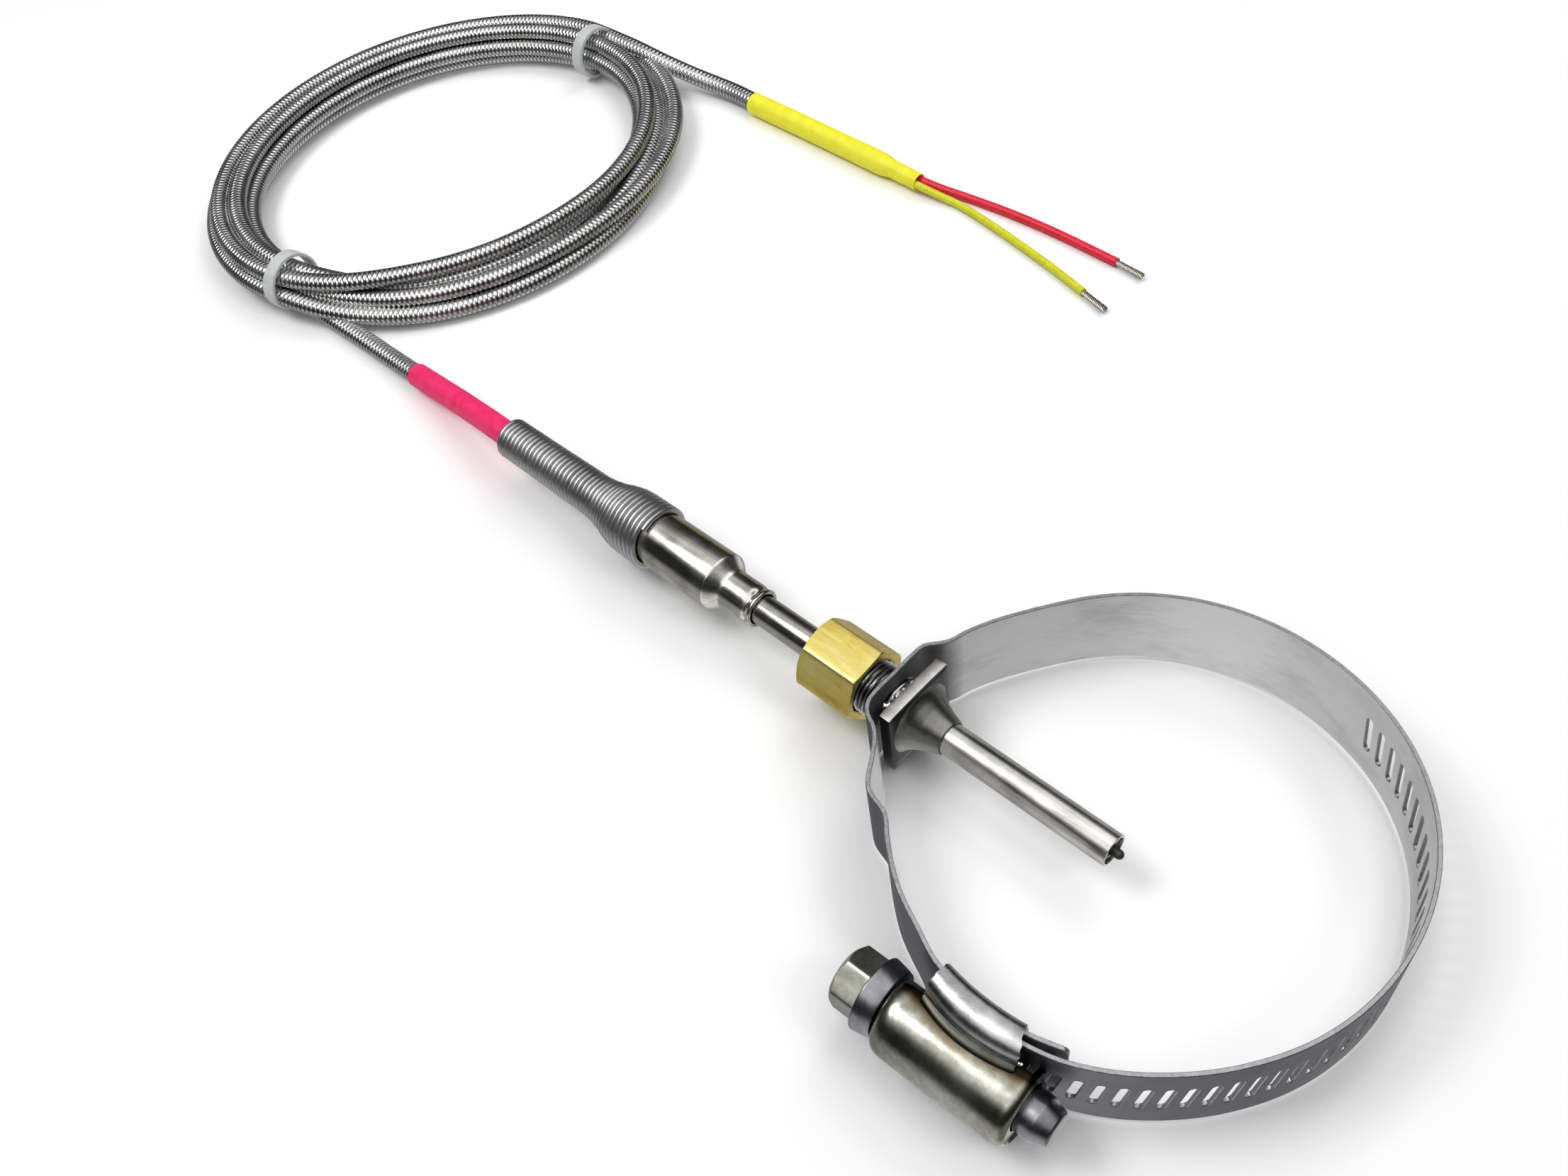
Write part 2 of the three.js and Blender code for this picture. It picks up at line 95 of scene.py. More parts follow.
# ---- meshes -------------------------------------------------------------------------------------
def make(name, points, faces, materials, body, sharp=35, uv=None, replaces=(), slot=None, face_slots=None):
    """A named mesh piece that rides on a body and stands for CAD nodes. materials are keys of MAT in
    one string, and face_slots says which of them each face has."""
    mesh = bpy.data.meshes.new(name)
    mesh.from_pydata(put(points).tolist(), [], [tuple(int(i) for i in f) for f in faces])
    mesh.validate()
    for key in materials.split():
        mesh.materials.append(MAT[key])
    if face_slots is not None:
        mesh.polygons.foreach_set("material_index", np.asarray(face_slots, dtype=np.int32))
    mesh.polygons.foreach_set("use_smooth", np.ones(len(mesh.polygons), dtype=bool))
    if uv is not None:
        layer = mesh.uv_layers.new(name="UVMap")
        corners = np.zeros(len(mesh.loops), dtype=np.int32)
        mesh.loops.foreach_get("vertex_index", corners)
        layer.data.foreach_set("uv", np.asarray(uv, dtype=np.float32)[corners].ravel())
    mesh.set_sharp_from_angle(angle=math.radians(sharp))
    piece = bpy.data.objects.new(name, mesh)
    bpy.context.scene.collection.objects.link(piece)
    if body:
        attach(piece, body)
    if replaces:
        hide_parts(*replaces)
    return piece


def fillet(outline, radius, steps=4):
    """The outline with each inner corner turned into an arc of about the given radius."""
    outline = np.array(outline, dtype=float)
    out = [outline[0]]
    for a, b, c in zip(outline, outline[1:], outline[2:]):
        back, ahead = np.linalg.norm(a - b), np.linalg.norm(c - b)
        cut = min(radius, 0.45 * back, 0.45 * ahead)
        start, end = b + (a - b) / back * cut, b + (c - b) / ahead * cut
        for t in np.linspace(0, 1, steps + 1):
            out.append((1 - t) ** 2 * start + 2 * t * (1 - t) * b + t ** 2 * end)
    out.append(outline[-1])
    return np.array(out)


def ring_faces(rows, sides, closed=False):
    """Quads between rows of points, each row a ring. closed joins the last row to the first."""
    faces = []
    for i in range(rows if closed else rows - 1):
        j = (i + 1) % rows
        for k in range(sides):
            n = (k + 1) % sides
            faces.append((i * sides + k, j * sides + k, j * sides + n, i * sides + n))
    return faces


def revolved(profile, sides=96, shape=None, closed=False):
    """Points and faces of a solid turned about X from [x, radius] points. shape(x, r, angle) may
    alter the radius, and a closed profile makes a ring."""
    profile = np.asarray(profile, dtype=float)
    rows = len(profile)
    x = np.repeat(profile[:, :1], sides, axis=1)
    r = np.repeat(profile[:, 1:], sides, axis=1)
    turn = np.repeat(np.arange(sides)[None, :] * 2 * math.pi / sides, rows, axis=0)
    if shape is not None:
        r = shape(x, r, turn)
    points = np.stack([x, r * np.cos(turn), r * np.sin(turn)], axis=-1).reshape(-1, 3)
    faces = ring_faces(rows, sides, closed)
    for end in () if closed else (0, rows - 1):
        cap = [(end * sides + k, end * sides + (k + 1) % sides, len(points)) for k in range(sides)]
        faces += cap if end == 0 else [f[::-1] for f in cap]
        points = np.vstack([points, [[profile[end, 0], 0, 0]]])
    return points, outward(points, faces)


def outward(points, faces):
    """The faces, all turned over when they enclose a negative volume."""
    total = 0.0
    for f in faces:
        a = points[f[0]]
        for i in range(1, len(f) - 1):
            total += np.dot(a, np.cross(points[f[i]], points[f[i + 1]]))
    return faces if total > 0 else [f[::-1] for f in faces]


def on_axis(points):
    return np.asarray(points) + [0, 0, AXIS_Z]


def join(*solids):
    """Several (points, faces) pairs as one."""
    points, faces, base = [], [], 0
    for p, f in solids:
        points.append(np.asarray(p))
        faces += [tuple(i + base for i in face) for face in f]
        base += len(p)
    return np.vstack(points), faces


def transported(path):
    """Tangents and a side vector, carried along the path without turning about it."""
    path = np.asarray(path, dtype=float)
    tangent = np.gradient(path, axis=0)
    tangent /= np.linalg.norm(tangent, axis=1, keepdims=True)
    side = np.zeros_like(path)
    up = np.array([0.0, 0.0, 1.0])
    first = np.cross(up, tangent[0])
    side[0] = first / np.linalg.norm(first)
    for i in range(1, len(path)):
        s = side[i - 1] - tangent[i] * np.dot(side[i - 1], tangent[i])
        side[i] = s / np.linalg.norm(s)
    return tangent, side, np.cross(tangent, side)


def lengths(path):
    return np.concatenate([[0], np.cumsum(np.linalg.norm(np.diff(path, axis=0), axis=1))])


def turned(name, profile, sides, materials, body, sharp=35, shape=None, closed=True, place=None, **facts):
    """A piece turned about X, put on the probe's axis unless place() puts it elsewhere."""
    points, faces = revolved(profile, sides, shape, closed)
    return make(name, (place or on_axis)(points), faces, materials, body, sharp, **facts)


def smooth_path(points, spacing):
    """A Catmull-Rom curve through the points, resampled at even steps."""
    p = np.asarray(points, dtype=float)
    p = np.vstack([2 * p[0] - p[1], p, 2 * p[-1] - p[-2]])
    out = []

    def between(t, knots, level, reach):
        """One round of the curve's blending, over knots that far apart."""
        spans = zip(knots, knots[reach:], level, level[1:])
        return [((k1 - t) * low + (t - k0) * high) / (k1 - k0) for k0, k1, low, high in spans]

    for i in range(1, len(p) - 2):
        level = list(p[i - 1:i + 3])
        gaps = [max(np.linalg.norm(b - a), 1e-6) ** 0.5 for a, b in zip(level, level[1:])]
        knots = np.concatenate([[0.0], np.cumsum(gaps)])
        t = np.linspace(knots[1], knots[2], 24, endpoint=i == len(p) - 3)[:, None]
        level = between(t, knots, level, 1)
        level = between(t, knots, level, 2)
        out.append(between(t, knots[1:], level, 1)[0])
    return resampled(np.vstack(out), spacing)


def resampled(path, spacing):
    s = lengths(path)
    keep = np.concatenate([[True], np.diff(s) > 1e-9])
    path, s = path[keep], s[keep]
    count = max(int(round(s[-1] / spacing)), 2)
    even = np.linspace(0, s[-1], count + 1)
    return np.stack([np.interp(even, s, path[:, k]) for k in range(path.shape[1])], axis=1)


def eased(values, passes):
    """Averages each row of the array with its neighbours, in place, and leaves its ends alone."""
    for _ in range(passes):
        values[1:-1] = 0.25 * values[:-2] + 0.5 * values[1:-1] + 0.25 * values[2:]


def swept(path, section, twist=0.0, scale=1.0, caps=True):
    """A solid whose cross-section, (m, 2) or one for each point, follows the path. twist and scale
    may vary along it."""
    path = np.asarray(path, dtype=float)
    _, side, up = transported(path)
    count, m = len(path), section.shape[-2]
    section = np.broadcast_to(section, (count, m, 2))
    turn, size = (np.broadcast_to(v, count)[:, None] for v in (twist, scale))
    u = (section[..., 0] * np.cos(turn) - section[..., 1] * np.sin(turn)) * size
    v = (section[..., 0] * np.sin(turn) + section[..., 1] * np.cos(turn)) * size
    points = path[:, None, :] + side[:, None, :] * u[..., None] + up[:, None, :] * v[..., None]
    i = np.arange(count - 1)[:, None] * m
    k = np.arange(m)[None, :]
    n = (k + 1) % m
    faces = np.stack([i + k, i + n, i + m + n, i + m + k], axis=-1).reshape(-1, 4).tolist()
    if caps:
        faces.append(tuple(range(m))[::-1])
        faces.append(tuple(range((count - 1) * m, count * m)))
    return points.reshape(-1, 3), faces


def circle(radius, sides):
    a = np.arange(sides) * 2 * math.pi / sides
    return np.stack([radius * np.cos(a), radius * np.sin(a)], axis=1)


# ---- materials ----------------------------------------------------------------------------------
class Field:
    """A number that varies over a surface, made of Math nodes."""

    def __init__(self, tree, socket):
        self.tree, self.socket = tree, socket

    def math(self, operation, *others):
        node = self.tree.nodes.new("ShaderNodeMath")
        node.operation = operation
        for i, value in enumerate((self, *others)):
            if isinstance(value, Field):
                self.tree.links.new(value.socket, node.inputs[i])
            else:
                node.inputs[i].default_value = value
        return Field(self.tree, node.outputs[0])

    def __add__(self, other):
        return self.math("ADD", other)

    def __sub__(self, other):
        return self.math("SUBTRACT", other)

    def __mul__(self, other):
        return self.math("MULTIPLY", other)

    def power(self, other):
        return self.math("POWER", other)

    def lift(self, low, high, to_low=0.0, to_high=1.0):
        """Maps low..high to to_low..to_high, clamped."""
        node = self.tree.nodes.new("ShaderNodeMapRange")
        self.tree.links.new(self.socket, node.inputs["Value"])
        for key, value in (("From Min", low), ("From Max", high), ("To Min", to_low), ("To Max", to_high)):
            node.inputs[key].default_value = value
        return Field(self.tree, node.outputs["Result"])


def colour_ramp(tree, field, stops):
    """The colour socket of a ramp of (place, (r, g, b)) over the field."""
    node = tree.nodes.new("ShaderNodeValToRGB")
    elements = node.color_ramp.elements
    while len(elements) < len(stops):
        elements.new(0.5)
    for element, (place, shade) in zip(elements, stops):
        element.position = place
        element.color = (*shade, 1)
    tree.links.new(field.socket, node.inputs["Fac"])
    return node.outputs["Color"]


EVEN = (1, 1, 1)             # a grain alike in all directions
ALONG = (0.04, 1, 1)         # a grain drawn along the probe


class Surface:
    """One Principled material and the fields that drive it."""

    def __init__(self, name, metallic=1.0, **constants):
        self.material = bpy.data.materials.new(name)
        self.material.use_nodes = True
        self.tree = self.material.node_tree
        self.shader = self.tree.nodes["Principled BSDF"]
        self.shader.inputs["Metallic"].default_value = metallic
        for key, value in constants.items():
            self.shader.inputs[key.replace("_", " ")].default_value = value
        self.coords = self.tree.nodes.new("ShaderNodeTexCoord")

    def noise(self, scale, stretch=EVEN, detail=4, roughness=0.6, turn=(0, 0, 0)):
        mapping = self.tree.nodes.new("ShaderNodeMapping")
        mapping.inputs["Scale"].default_value = stretch
        mapping.inputs["Rotation"].default_value = turn
        self.tree.links.new(self.coords.outputs["Object"], mapping.inputs["Vector"])
        node = self.tree.nodes.new("ShaderNodeTexNoise")
        node.inputs["Scale"].default_value = scale
        node.inputs["Detail"].default_value = detail
        node.inputs["Roughness"].default_value = roughness
        self.tree.links.new(mapping.outputs["Vector"], node.inputs["Vector"])
        return Field(self.tree, node.outputs["Fac"])

    def axes(self, space):
        split = self.tree.nodes.new("ShaderNodeSeparateXYZ")
        self.tree.links.new(self.coords.outputs[space], split.inputs["Vector"])
        return [Field(self.tree, socket) for socket in split.outputs]

    def uv(self):
        return self.axes("UV")[:2]

    def reach(self, centre, pair):
        """Metres from a design point, measured along two of the axes."""
        middle, axes = put([centre])[0], self.axes("Object")
        first, second = (axes[k] - float(middle[k]) for k in pair)
        return (first * first + second * second).power(0.5)

    def colour(self, field, stops):
        """Base colour from a ramp of (place, (r, g, b)) over the field."""
        self.tree.links.new(self.ramp(field, stops), self.shader.inputs["Base Color"])

    def ramp(self, field, stops):
        return colour_ramp(self.tree, field, stops)

    def mix(self, field, first, second):
        """Base colour that goes from one socket or colour to another by the field."""
        node = self.tree.nodes.new("ShaderNodeMix")
        node.data_type = "RGBA"
        self.tree.links.new(field.socket, node.inputs["Factor"])
        for key, value in (("A", first), ("B", second)):
            socket = [s for s in node.inputs if s.name == key and s.type == "RGBA"][0]
            if isinstance(value, tuple):
                socket.default_value = (*value, 1)
            else:
                self.tree.links.new(value, socket)
        out = [s for s in node.outputs if s.type == "RGBA"][0]
        self.tree.links.new(out, self.shader.inputs["Base Color"])
        return out

    def roughness(self, field):
        self.tree.links.new(field.socket, self.shader.inputs["Roughness"])

    def bump(self, field, strength, distance):
        node = self.tree.nodes.new("ShaderNodeBump")
        node.inputs["Strength"].default_value = strength
        node.inputs["Distance"].default_value = distance * MM
        self.tree.links.new(field.socket, node.inputs["Height"])
        previous = self.shader.inputs["Normal"].links
        if previous:
            self.tree.links.new(previous[0].from_socket, node.inputs["Normal"])
        self.tree.links.new(node.outputs["Normal"], self.shader.inputs["Normal"])


def worked_metal(name, dark, light, rough, grain_scale, relief=0.02, blotch=60, spots=0.0, grain=EVEN):
    """Metal with a directional grain, cloudy tone and fine scratches. grain stretches the noise:
    a small number keeps it even along that axis."""
    s = Surface(name)
    cloud = s.noise(blotch, detail=5)
    lines = s.noise(grain_scale, grain, detail=3, roughness=0.7)
    s.colour(cloud * 0.55 + lines * 0.45, [(0.3, dark), (0.62, light)])
    s.roughness((lines * 0.6 + cloud * 0.4).lift(0.3, 0.7, *rough))
    s.bump(lines, 0.5, relief)
    if spots:
        s.bump(s.noise(2600, detail=2), spots, 0.01)
    return s.material


def braid_material():
    s = Surface("woven_steel_braid")
    u, v = s.uv()
    p, q = u + v, u - v
    a, b = p.math("FRACT") - 0.5, q.math("FRACT") - 0.5
    over = (p.math("FLOOR") + q.math("FLOOR")).math("FLOORED_MODULO", 2.0)
    under = (over * -1.0) + 1.0

    def dome(across, along):
        wide = (across * across * -3.6) + 1.0
        long = (along * along * -2.2) + 1.0
        return wide.math("MAXIMUM", 0.0).power(0.5) * long

    def wires(across):
        return (across * (2 * math.pi * 4)).math("COSINE")

    height = dome(a, b) * over + dome(b, a) * under
    fine = wires(a) * over + wires(b) * under
    grime = s.noise(90, detail=4)
    # painted highlight on the crown of each crossing and painted shade in the grooves, both from the braid's
    # height; grime adds real dirt
    s.colour(height * 0.85 + grime * 0.3, [
        (0.22, (0.02, 0.02, 0.021)), (0.48, (0.27, 0.268, 0.262)), (0.8, (0.66, 0.655, 0.645)),
        (0.94, (1.0, 1.0, 0.99))])
    s.roughness(grime.lift(0.3, 0.7, 0.2, 0.32))
    s.bump(fine, 0.25, 0.04)
    s.bump(height, 0.8, 0.2)
    return s.material


def shrink_material(name, low, high):
    s = Surface(name, metallic=0.0, Subsurface_Weight=0.15, Subsurface_Scale=0.002)
    s.shader.inputs["Subsurface Radius"].default_value = (1.0, 0.4, 0.3)
    mottle = s.noise(350, detail=5)
    fine = s.noise(2200, detail=3)
    s.colour(mottle, [(0.3, low), (0.7, high)])
    s.roughness(mottle.lift(0.3, 0.7, 0.42, 0.6))
    s.bump(mottle, 0.15, 0.06)
    s.bump(fine, 0.2, 0.02)
    return s.material


def band_material(name, dark, light, metallic):
    """Rolled strip, smudged, with painted shade darkening it round the fitting's pocket."""
    s = Surface(name, metallic=metallic)
    smudge = s.noise(45, (1, 1, 2.2), detail=6, roughness=0.65)
    grain = s.noise(900, (0.3, 0.3, 3), detail=3)
    bright = tuple(min(1, c * 1.08) for c in light)
    base = s.ramp(smudge * 0.75 + grain * 0.25, [(0.33, dark), (0.5, light), (0.75, bright)])
    # painted shade: the strip goes dark within about 12 to 16 mm of the fitting's pocket
    reach = s.reach([-49.0, 0, 0], (0, 1))
    s.mix((reach + smudge * 0.004).lift(0.012, 0.0165, 0.85, 0.0), base, (0.06, 0.06, 0.075))
    s.roughness(smudge.lift(0.3, 0.7, 0.38, 0.55))
    s.bump(grain, 0.2, 0.02)
    s.bump(s.noise(3800, detail=2), 0.12, 0.01)
    return s.material


def thread_material():
    """Painted highlight on the crests and painted shade in the roots, told apart by their distance from the
    probe's axis.
    """
    s = Surface("cut_thread", Roughness=0.28)
    reach = s.reach([0, 0, AXIS_Z], (1, 2))
    s.colour(reach.lift(0.0050, 0.0056), [
        (0.1, (0.04, 0.04, 0.04)), (0.6, (0.34, 0.34, 0.335)), (1.0, (0.8, 0.79, 0.78))])
    s.bump(s.noise(900, detail=3), 0.2, 0.01)
    return s.material


def housing_material():
    """Pressed stainless with a faint green-gold sheen, heat colours along the weld seam, and painted shade in
    the crease under the saddle.
    """
    s = Surface("pressed_housing")
    patch = s.noise(110, detail=5)
    fine = s.noise(900, detail=4)
    base = s.ramp(patch * 0.65 + fine * 0.35, [
        (0.3, (0.22, 0.22, 0.17)), (0.5, (0.42, 0.42, 0.36)), (0.68, (0.66, 0.66, 0.60))])
    reach = s.reach([0, LOOP_Y, 0], (0, 1))
    heat = (reach + patch * 0.004).lift(0.0531, 0.0552, 0.85, 0.0)
    tinted = s.mix(heat, base, (0.20, 0.125, 0.04))
    # painted shade: nearly black in the crease where the barrel runs in under the saddle, within 50.6 mm of
    # the loop's centre
    s.mix(reach.lift(0.0506, 0.0519, 0.92, 0.0), tinted, (0.015, 0.01, 0.008))
    s.roughness(patch.lift(0.3, 0.7, 0.16, 0.32))
    s.bump(fine, 0.25, 0.012)
    return s.material


def cut_edge_material():
    s = Surface("cut_strip_edge")
    chips = s.noise(1500, detail=4, roughness=0.8)
    s.colour(chips, [(0.3, (0.30, 0.30, 0.31)), (0.7, (0.60, 0.60, 0.61))])
    s.roughness(chips.lift(0.3, 0.7, 0.3, 0.5))
    s.bump(chips, 0.25, 0.03)
    return s.material


def brass_material():
    s = Surface("machined_brass", metallic=0.85)
    scratch = s.noise(260, (0.12, 1, 1), detail=6, roughness=0.75, turn=(0, 0, 0.2))
    cloud = s.noise(130, detail=4)
    pits = s.noise(2400, detail=3)
    tone = scratch * 0.6 + cloud * 0.4
    s.colour(tone, [(0.30, (0.55, 0.38, 0.06)), (0.48, (0.92, 0.73, 0.18)), (0.66, (1.0, 0.91, 0.38))])
    s.roughness(scratch.lift(0.3, 0.7, 0.2, 0.42))
    s.bump(scratch, 0.45, 0.05)
    s.bump(pits, 0.15, 0.02)
    return s.material


def tie_material():
    s = Surface("translucent_tie", metallic=0.0, Transmission_Weight=0.35, IOR=1.49)
    ribs = s.noise(700, detail=3)
    s.colour(ribs, [(0.3, (0.72, 0.75, 0.73)), (0.7, (0.86, 0.88, 0.86))])
    s.roughness(ribs.lift(0.3, 0.7, 0.3, 0.45))
    s.bump(ribs, 0.2, 0.05)
    return s.material


def strand_material():
    s = Surface("bare_strands")
    u, v = s.uv()
    lay = ((v + u) * (2 * math.pi)).math("SINE")
    s.colour(lay.lift(-1, 1), [(0.1, (0.2, 0.16, 0.12)), (0.7, (0.9, 0.85, 0.76))])
    s.roughness(s.noise(900).lift(0.3, 0.7, 0.2, 0.4))
    s.bump(lay, 0.8, 0.15)
    return s.material


def insulation_material(name, low, high):
    s = Surface(name, metallic=0.0)
    u, v = s.uv()
    weave = ((u * 2 * math.pi).math("SINE")) * ((v * 2 * math.pi).math("SINE"))
    cloud = s.noise(500, detail=3)
    s.colour(cloud * 0.7 + weave.lift(-1, 1) * 0.3, [(0.3, low), (0.7, high)])
    s.roughness(cloud.lift(0.3, 0.7, 0.35, 0.5))
    s.bump(weave, 0.35, 0.06)
    return s.material


# key: name, dark, light, roughness, grain's scale, its relief in mm, cloud's scale, specks, grain
WORKED = {
    "tube": ("drawn_stainless", (0.36, 0.35, 0.32), (0.92, 0.9, 0.85), (0.14, 0.3), 900, 0.04, 130, 0, ALONG),
    "sleeve": ("polished_sleeve", (0.34, 0.33, 0.27), (0.95, 0.93, 0.85), (0.12, 0.3), 600, 0.04, 160, 0,
               ALONG),
    "neck": ("turned_neck", (0.14, 0.138, 0.13), (0.33, 0.325, 0.31), (0.26, 0.36), 400, 0.003),
    # The plate's top edge takes a light copy of its metal, painted highlight, and its other faces a dark
    # copy, painted shade.
    "dull": ("plate_painted_shade", (0.025, 0.025, 0.027), (0.09, 0.09, 0.09), (0.3, 0.45), 500),
    "plate": ("cast_plate_painted_highlight", (0.36, 0.35, 0.34), (0.78, 0.77, 0.75), (0.28, 0.45), 500, 0.03, 60, 0.4),
    "weld": ("weld_metal", (0.40, 0.38, 0.36), (0.9, 0.88, 0.86), (0.14, 0.3), 900, 0.05, 400, 0.4),
    "strap": ("pressed_saddle", (0.28, 0.28, 0.28), (0.64, 0.64, 0.63), (0.2, 0.36), 400, 0.03, 120, 0.3),
    # The saddle's fold gets a darker copy of the strap's metal: painted shade.
    "fold": ("saddle_fold_painted_shade", (0.03, 0.03, 0.024), (0.10, 0.10, 0.082), (0.26, 0.4), 400, 0.03, 120, 0.3),
    "screw": ("zinc_screw", (0.10, 0.10, 0.115), (0.36, 0.36, 0.38), (0.18, 0.34), 350, 0.03, 140, 0.3),
    # The hex head takes a lighter copy of the screw's zinc: painted light.
    "screw_head": ("zinc_screw_head_painted_light", (0.3, 0.3, 0.26), (0.62, 0.62, 0.55), (0.3, 0.45), 350, 0.03, 140, 0.3),
    "spring": ("spring_wire", (0.42, 0.42, 0.43), (0.62, 0.615, 0.61), (0.34, 0.44), 500, 0.005),
    "bead": ("oxidised_bead", (0.03, 0.03, 0.032), (0.12, 0.12, 0.12), (0.4, 0.6), 900, 0.08),
}
MAT = {key: worked_metal(*facts) for key, facts in WORKED.items()}
MAT.update({
    "housing": housing_material(),
    "thread": thread_material(),
    "ceramic": shrink_material("fired_ceramic", (0.75, 0.72, 0.64), (0.9, 0.88, 0.8)),
    "potting": shrink_material("potting_cement", (0.05, 0.045, 0.04), (0.11, 0.1, 0.09)),
    "band": band_material("band_strip", (0.66, 0.66, 0.655), (0.86, 0.86, 0.855), 0.55),
    # The strip's outside face is a darker copy of the same metal: painted shade.
    "band_outer": band_material("band_strip_outside_painted_shade", (0.11, 0.11, 0.125), (0.21, 0.21, 0.235), 1.0),
    "edge": cut_edge_material(),
    "brass": brass_material(),
    "braid": braid_material(),
    "red_shrink": shrink_material("red_shrink_tube", (0.86, 0.016, 0.115), (1.0, 0.035, 0.19)),
    "yellow_shrink": shrink_material("yellow_shrink_tube", (0.90, 0.80, 0.015), (1.0, 0.94, 0.05)),
    "red_wire": insulation_material("red_insulation", (0.66, 0.008, 0.03), (0.86, 0.018, 0.055)),
    "yellow_wire": insulation_material("yellow_insulation", (0.58, 0.58, 0.01), (0.76, 0.78, 0.02)),
    "tie": tie_material(),
    "strand": strand_material(),
})


# ---- the clamp strip ----------------------------------------------------------------------------
def loop_point(degrees, radius):
    a = math.radians(degrees)
    return [radius * math.cos(a), LOOP_Y + radius * math.sin(a)]


INNER_LAYER, OUTER_LAYER = 44.8, 46.2
SEAM = 100.0                 # degrees: where the two halves of the strip meet


def fixed_route():
    far = [loop_point(a, 43.6) for a in (SEAM, 106, 114, 122, 130, 138, 144)]
    shoulder = [[-39.4, 26.4], [-43.0, 20.6], [-45.4, 15.6], [-46.6, 11.9], [-48.0, 9.9]]
    pocket = [[-49.7, 8.0], [-49.95, 5.0], [-49.9, 0.0], [-49.9, -4.5], [-49.6, -7.2]]
    under = [[-48.2, -9.2], [-45.6, -10.6], [-43.6, -12.4], [-41.4, -15.6], [-37.9, -20.6]]
    near = [loop_point(a, r) for a, r in (
        (222, 43.7), (228, 43.6), (234, 43.7), (240, 43.9), (246, 43.9), (250, 44.0), (254, 44.4),
        (258, INNER_LAYER), (264, INNER_LAYER), (270, INNER_LAYER), (276, INNER_LAYER - 0.1),
        (282, INNER_LAYER - 0.3), (286, INNER_LAYER - 0.5), (289, INNER_LAYER - 0.6))]
    return far + shoulder + pocket + under + near


def slotted_route():
    points = []
    for a in np.arange(SEAM, -31, -5.0):
        swell = 0.35 * math.sin(math.radians(2 * a)) ** 2 if a < 90 else 0
        points.append(loop_point(a, 43.6 + swell))
    tail = [(-36, 43.95), (-42, 44.15), (-48, 44.4), (-54, 44.75), (-60, 45.2), (-66, 45.7), (-72, 46.1)]
    tail += [(a, OUTER_LAYER) for a in (-78, -84, -90, -96, -101)]
    return points + [loop_point(a, r) for a, r in tail]


def capsule(along, up, length, width, lean, count=7):
    """A slot's outline in the flat strip, anticlockwise."""
    r = width / 2
    straight = length / 2 - r
    points = []
    for k in range(2 * count):
        a = math.pi * (k if k < count else k - 1) / (count - 1)
        lift = straight if k < count else -straight
        points.append([r * math.cos(a), lift + r * math.sin(a)])
    c, s = math.cos(lean), math.sin(lean)
    return np.array([[along + x * c - y * s, up + x * s + y * c] for x, y in points])


def offset_loop(loop, distance):
    """The closed loop moved outwards (to the right of its way round) by the distance."""
    before, after = np.roll(loop, 1, axis=0), np.roll(loop, -1, axis=0)
    d1, d2 = loop - before, after - loop
    n1 = np.stack([d1[:, 1], -d1[:, 0]], 1) / np.linalg.norm(d1, axis=1, keepdims=True)
    n2 = np.stack([d2[:, 1], -d2[:, 0]], 1) / np.linalg.norm(d2, axis=1, keepdims=True)
    n = n1 + n2
    n /= np.linalg.norm(n, axis=1, keepdims=True)
    stretch = np.maximum(np.sum(n * n1, axis=1, keepdims=True), 0.5)
    return loop + n * distance / stretch


def strip_outline(s, z, corner):
    """The flat strip's edge, anticlockwise: square at its start, with rounded corners at its end."""
    total = s[-1]
    low = [[total - corner * (1 - math.sin(a)), corner * (1 - math.cos(a))]
           for a in np.linspace(0, math.pi / 2, 5)]
    high = [[x, BAND_WIDTH - v] for x, v in low][::-1]
    end = low + [[total, v] for v in z if corner < v < BAND_WIDTH - corner] + high
    inner = [v for v in s[1:-1] if 0.3 < v < total - corner - 0.3]
    return np.array([[v, 0] for v in inner] + end + [[v, BAND_WIDTH] for v in inner[::-1]]
                    + [[0, v] for v in z[::-1]])


def flat_mesh(loops, holes, s, z):
    """Points and triangles that fill the first loop and leave the others open."""
    flat, edges = [], []
    for loop in loops:
        start, count = len(flat), len(loop)
        edges += [(start + i, start + (i + 1) % count) for i in range(count)]
        flat += loop.tolist()
    taken = np.array(flat)
    for v in s:
        for w in z[1:-1]:
            gap = np.min(np.abs(taken[:, 0] - v) + np.abs(taken[:, 1] - w))
            inside = any(abs(v - h[0] + (w - h[1]) * math.tan(h[4])) < h[3] / 2 + 0.45
                         and abs(w - h[1]) < h[2] / 2 + 0.45 for h in holes)
            if gap > 0.5 and not inside and 0.6 < v < s[-1] - 0.6:
                flat.append([v, w])
    vertices, _, triangles, *_ = geometry.delaunay_2d_cdt([Vector(p) for p in flat], edges, [], 0, 1e-6)
    flat = np.array([[v.x, v.y] for v in vertices])
    middle = np.array([flat[list(t)].mean(axis=0) for t in triangles])
    keep = within(middle, loops[0])
    for loop in loops[1:]:
        keep &= ~within(middle, loop)
    return flat, [t for t, k in zip(triangles, keep) if k]


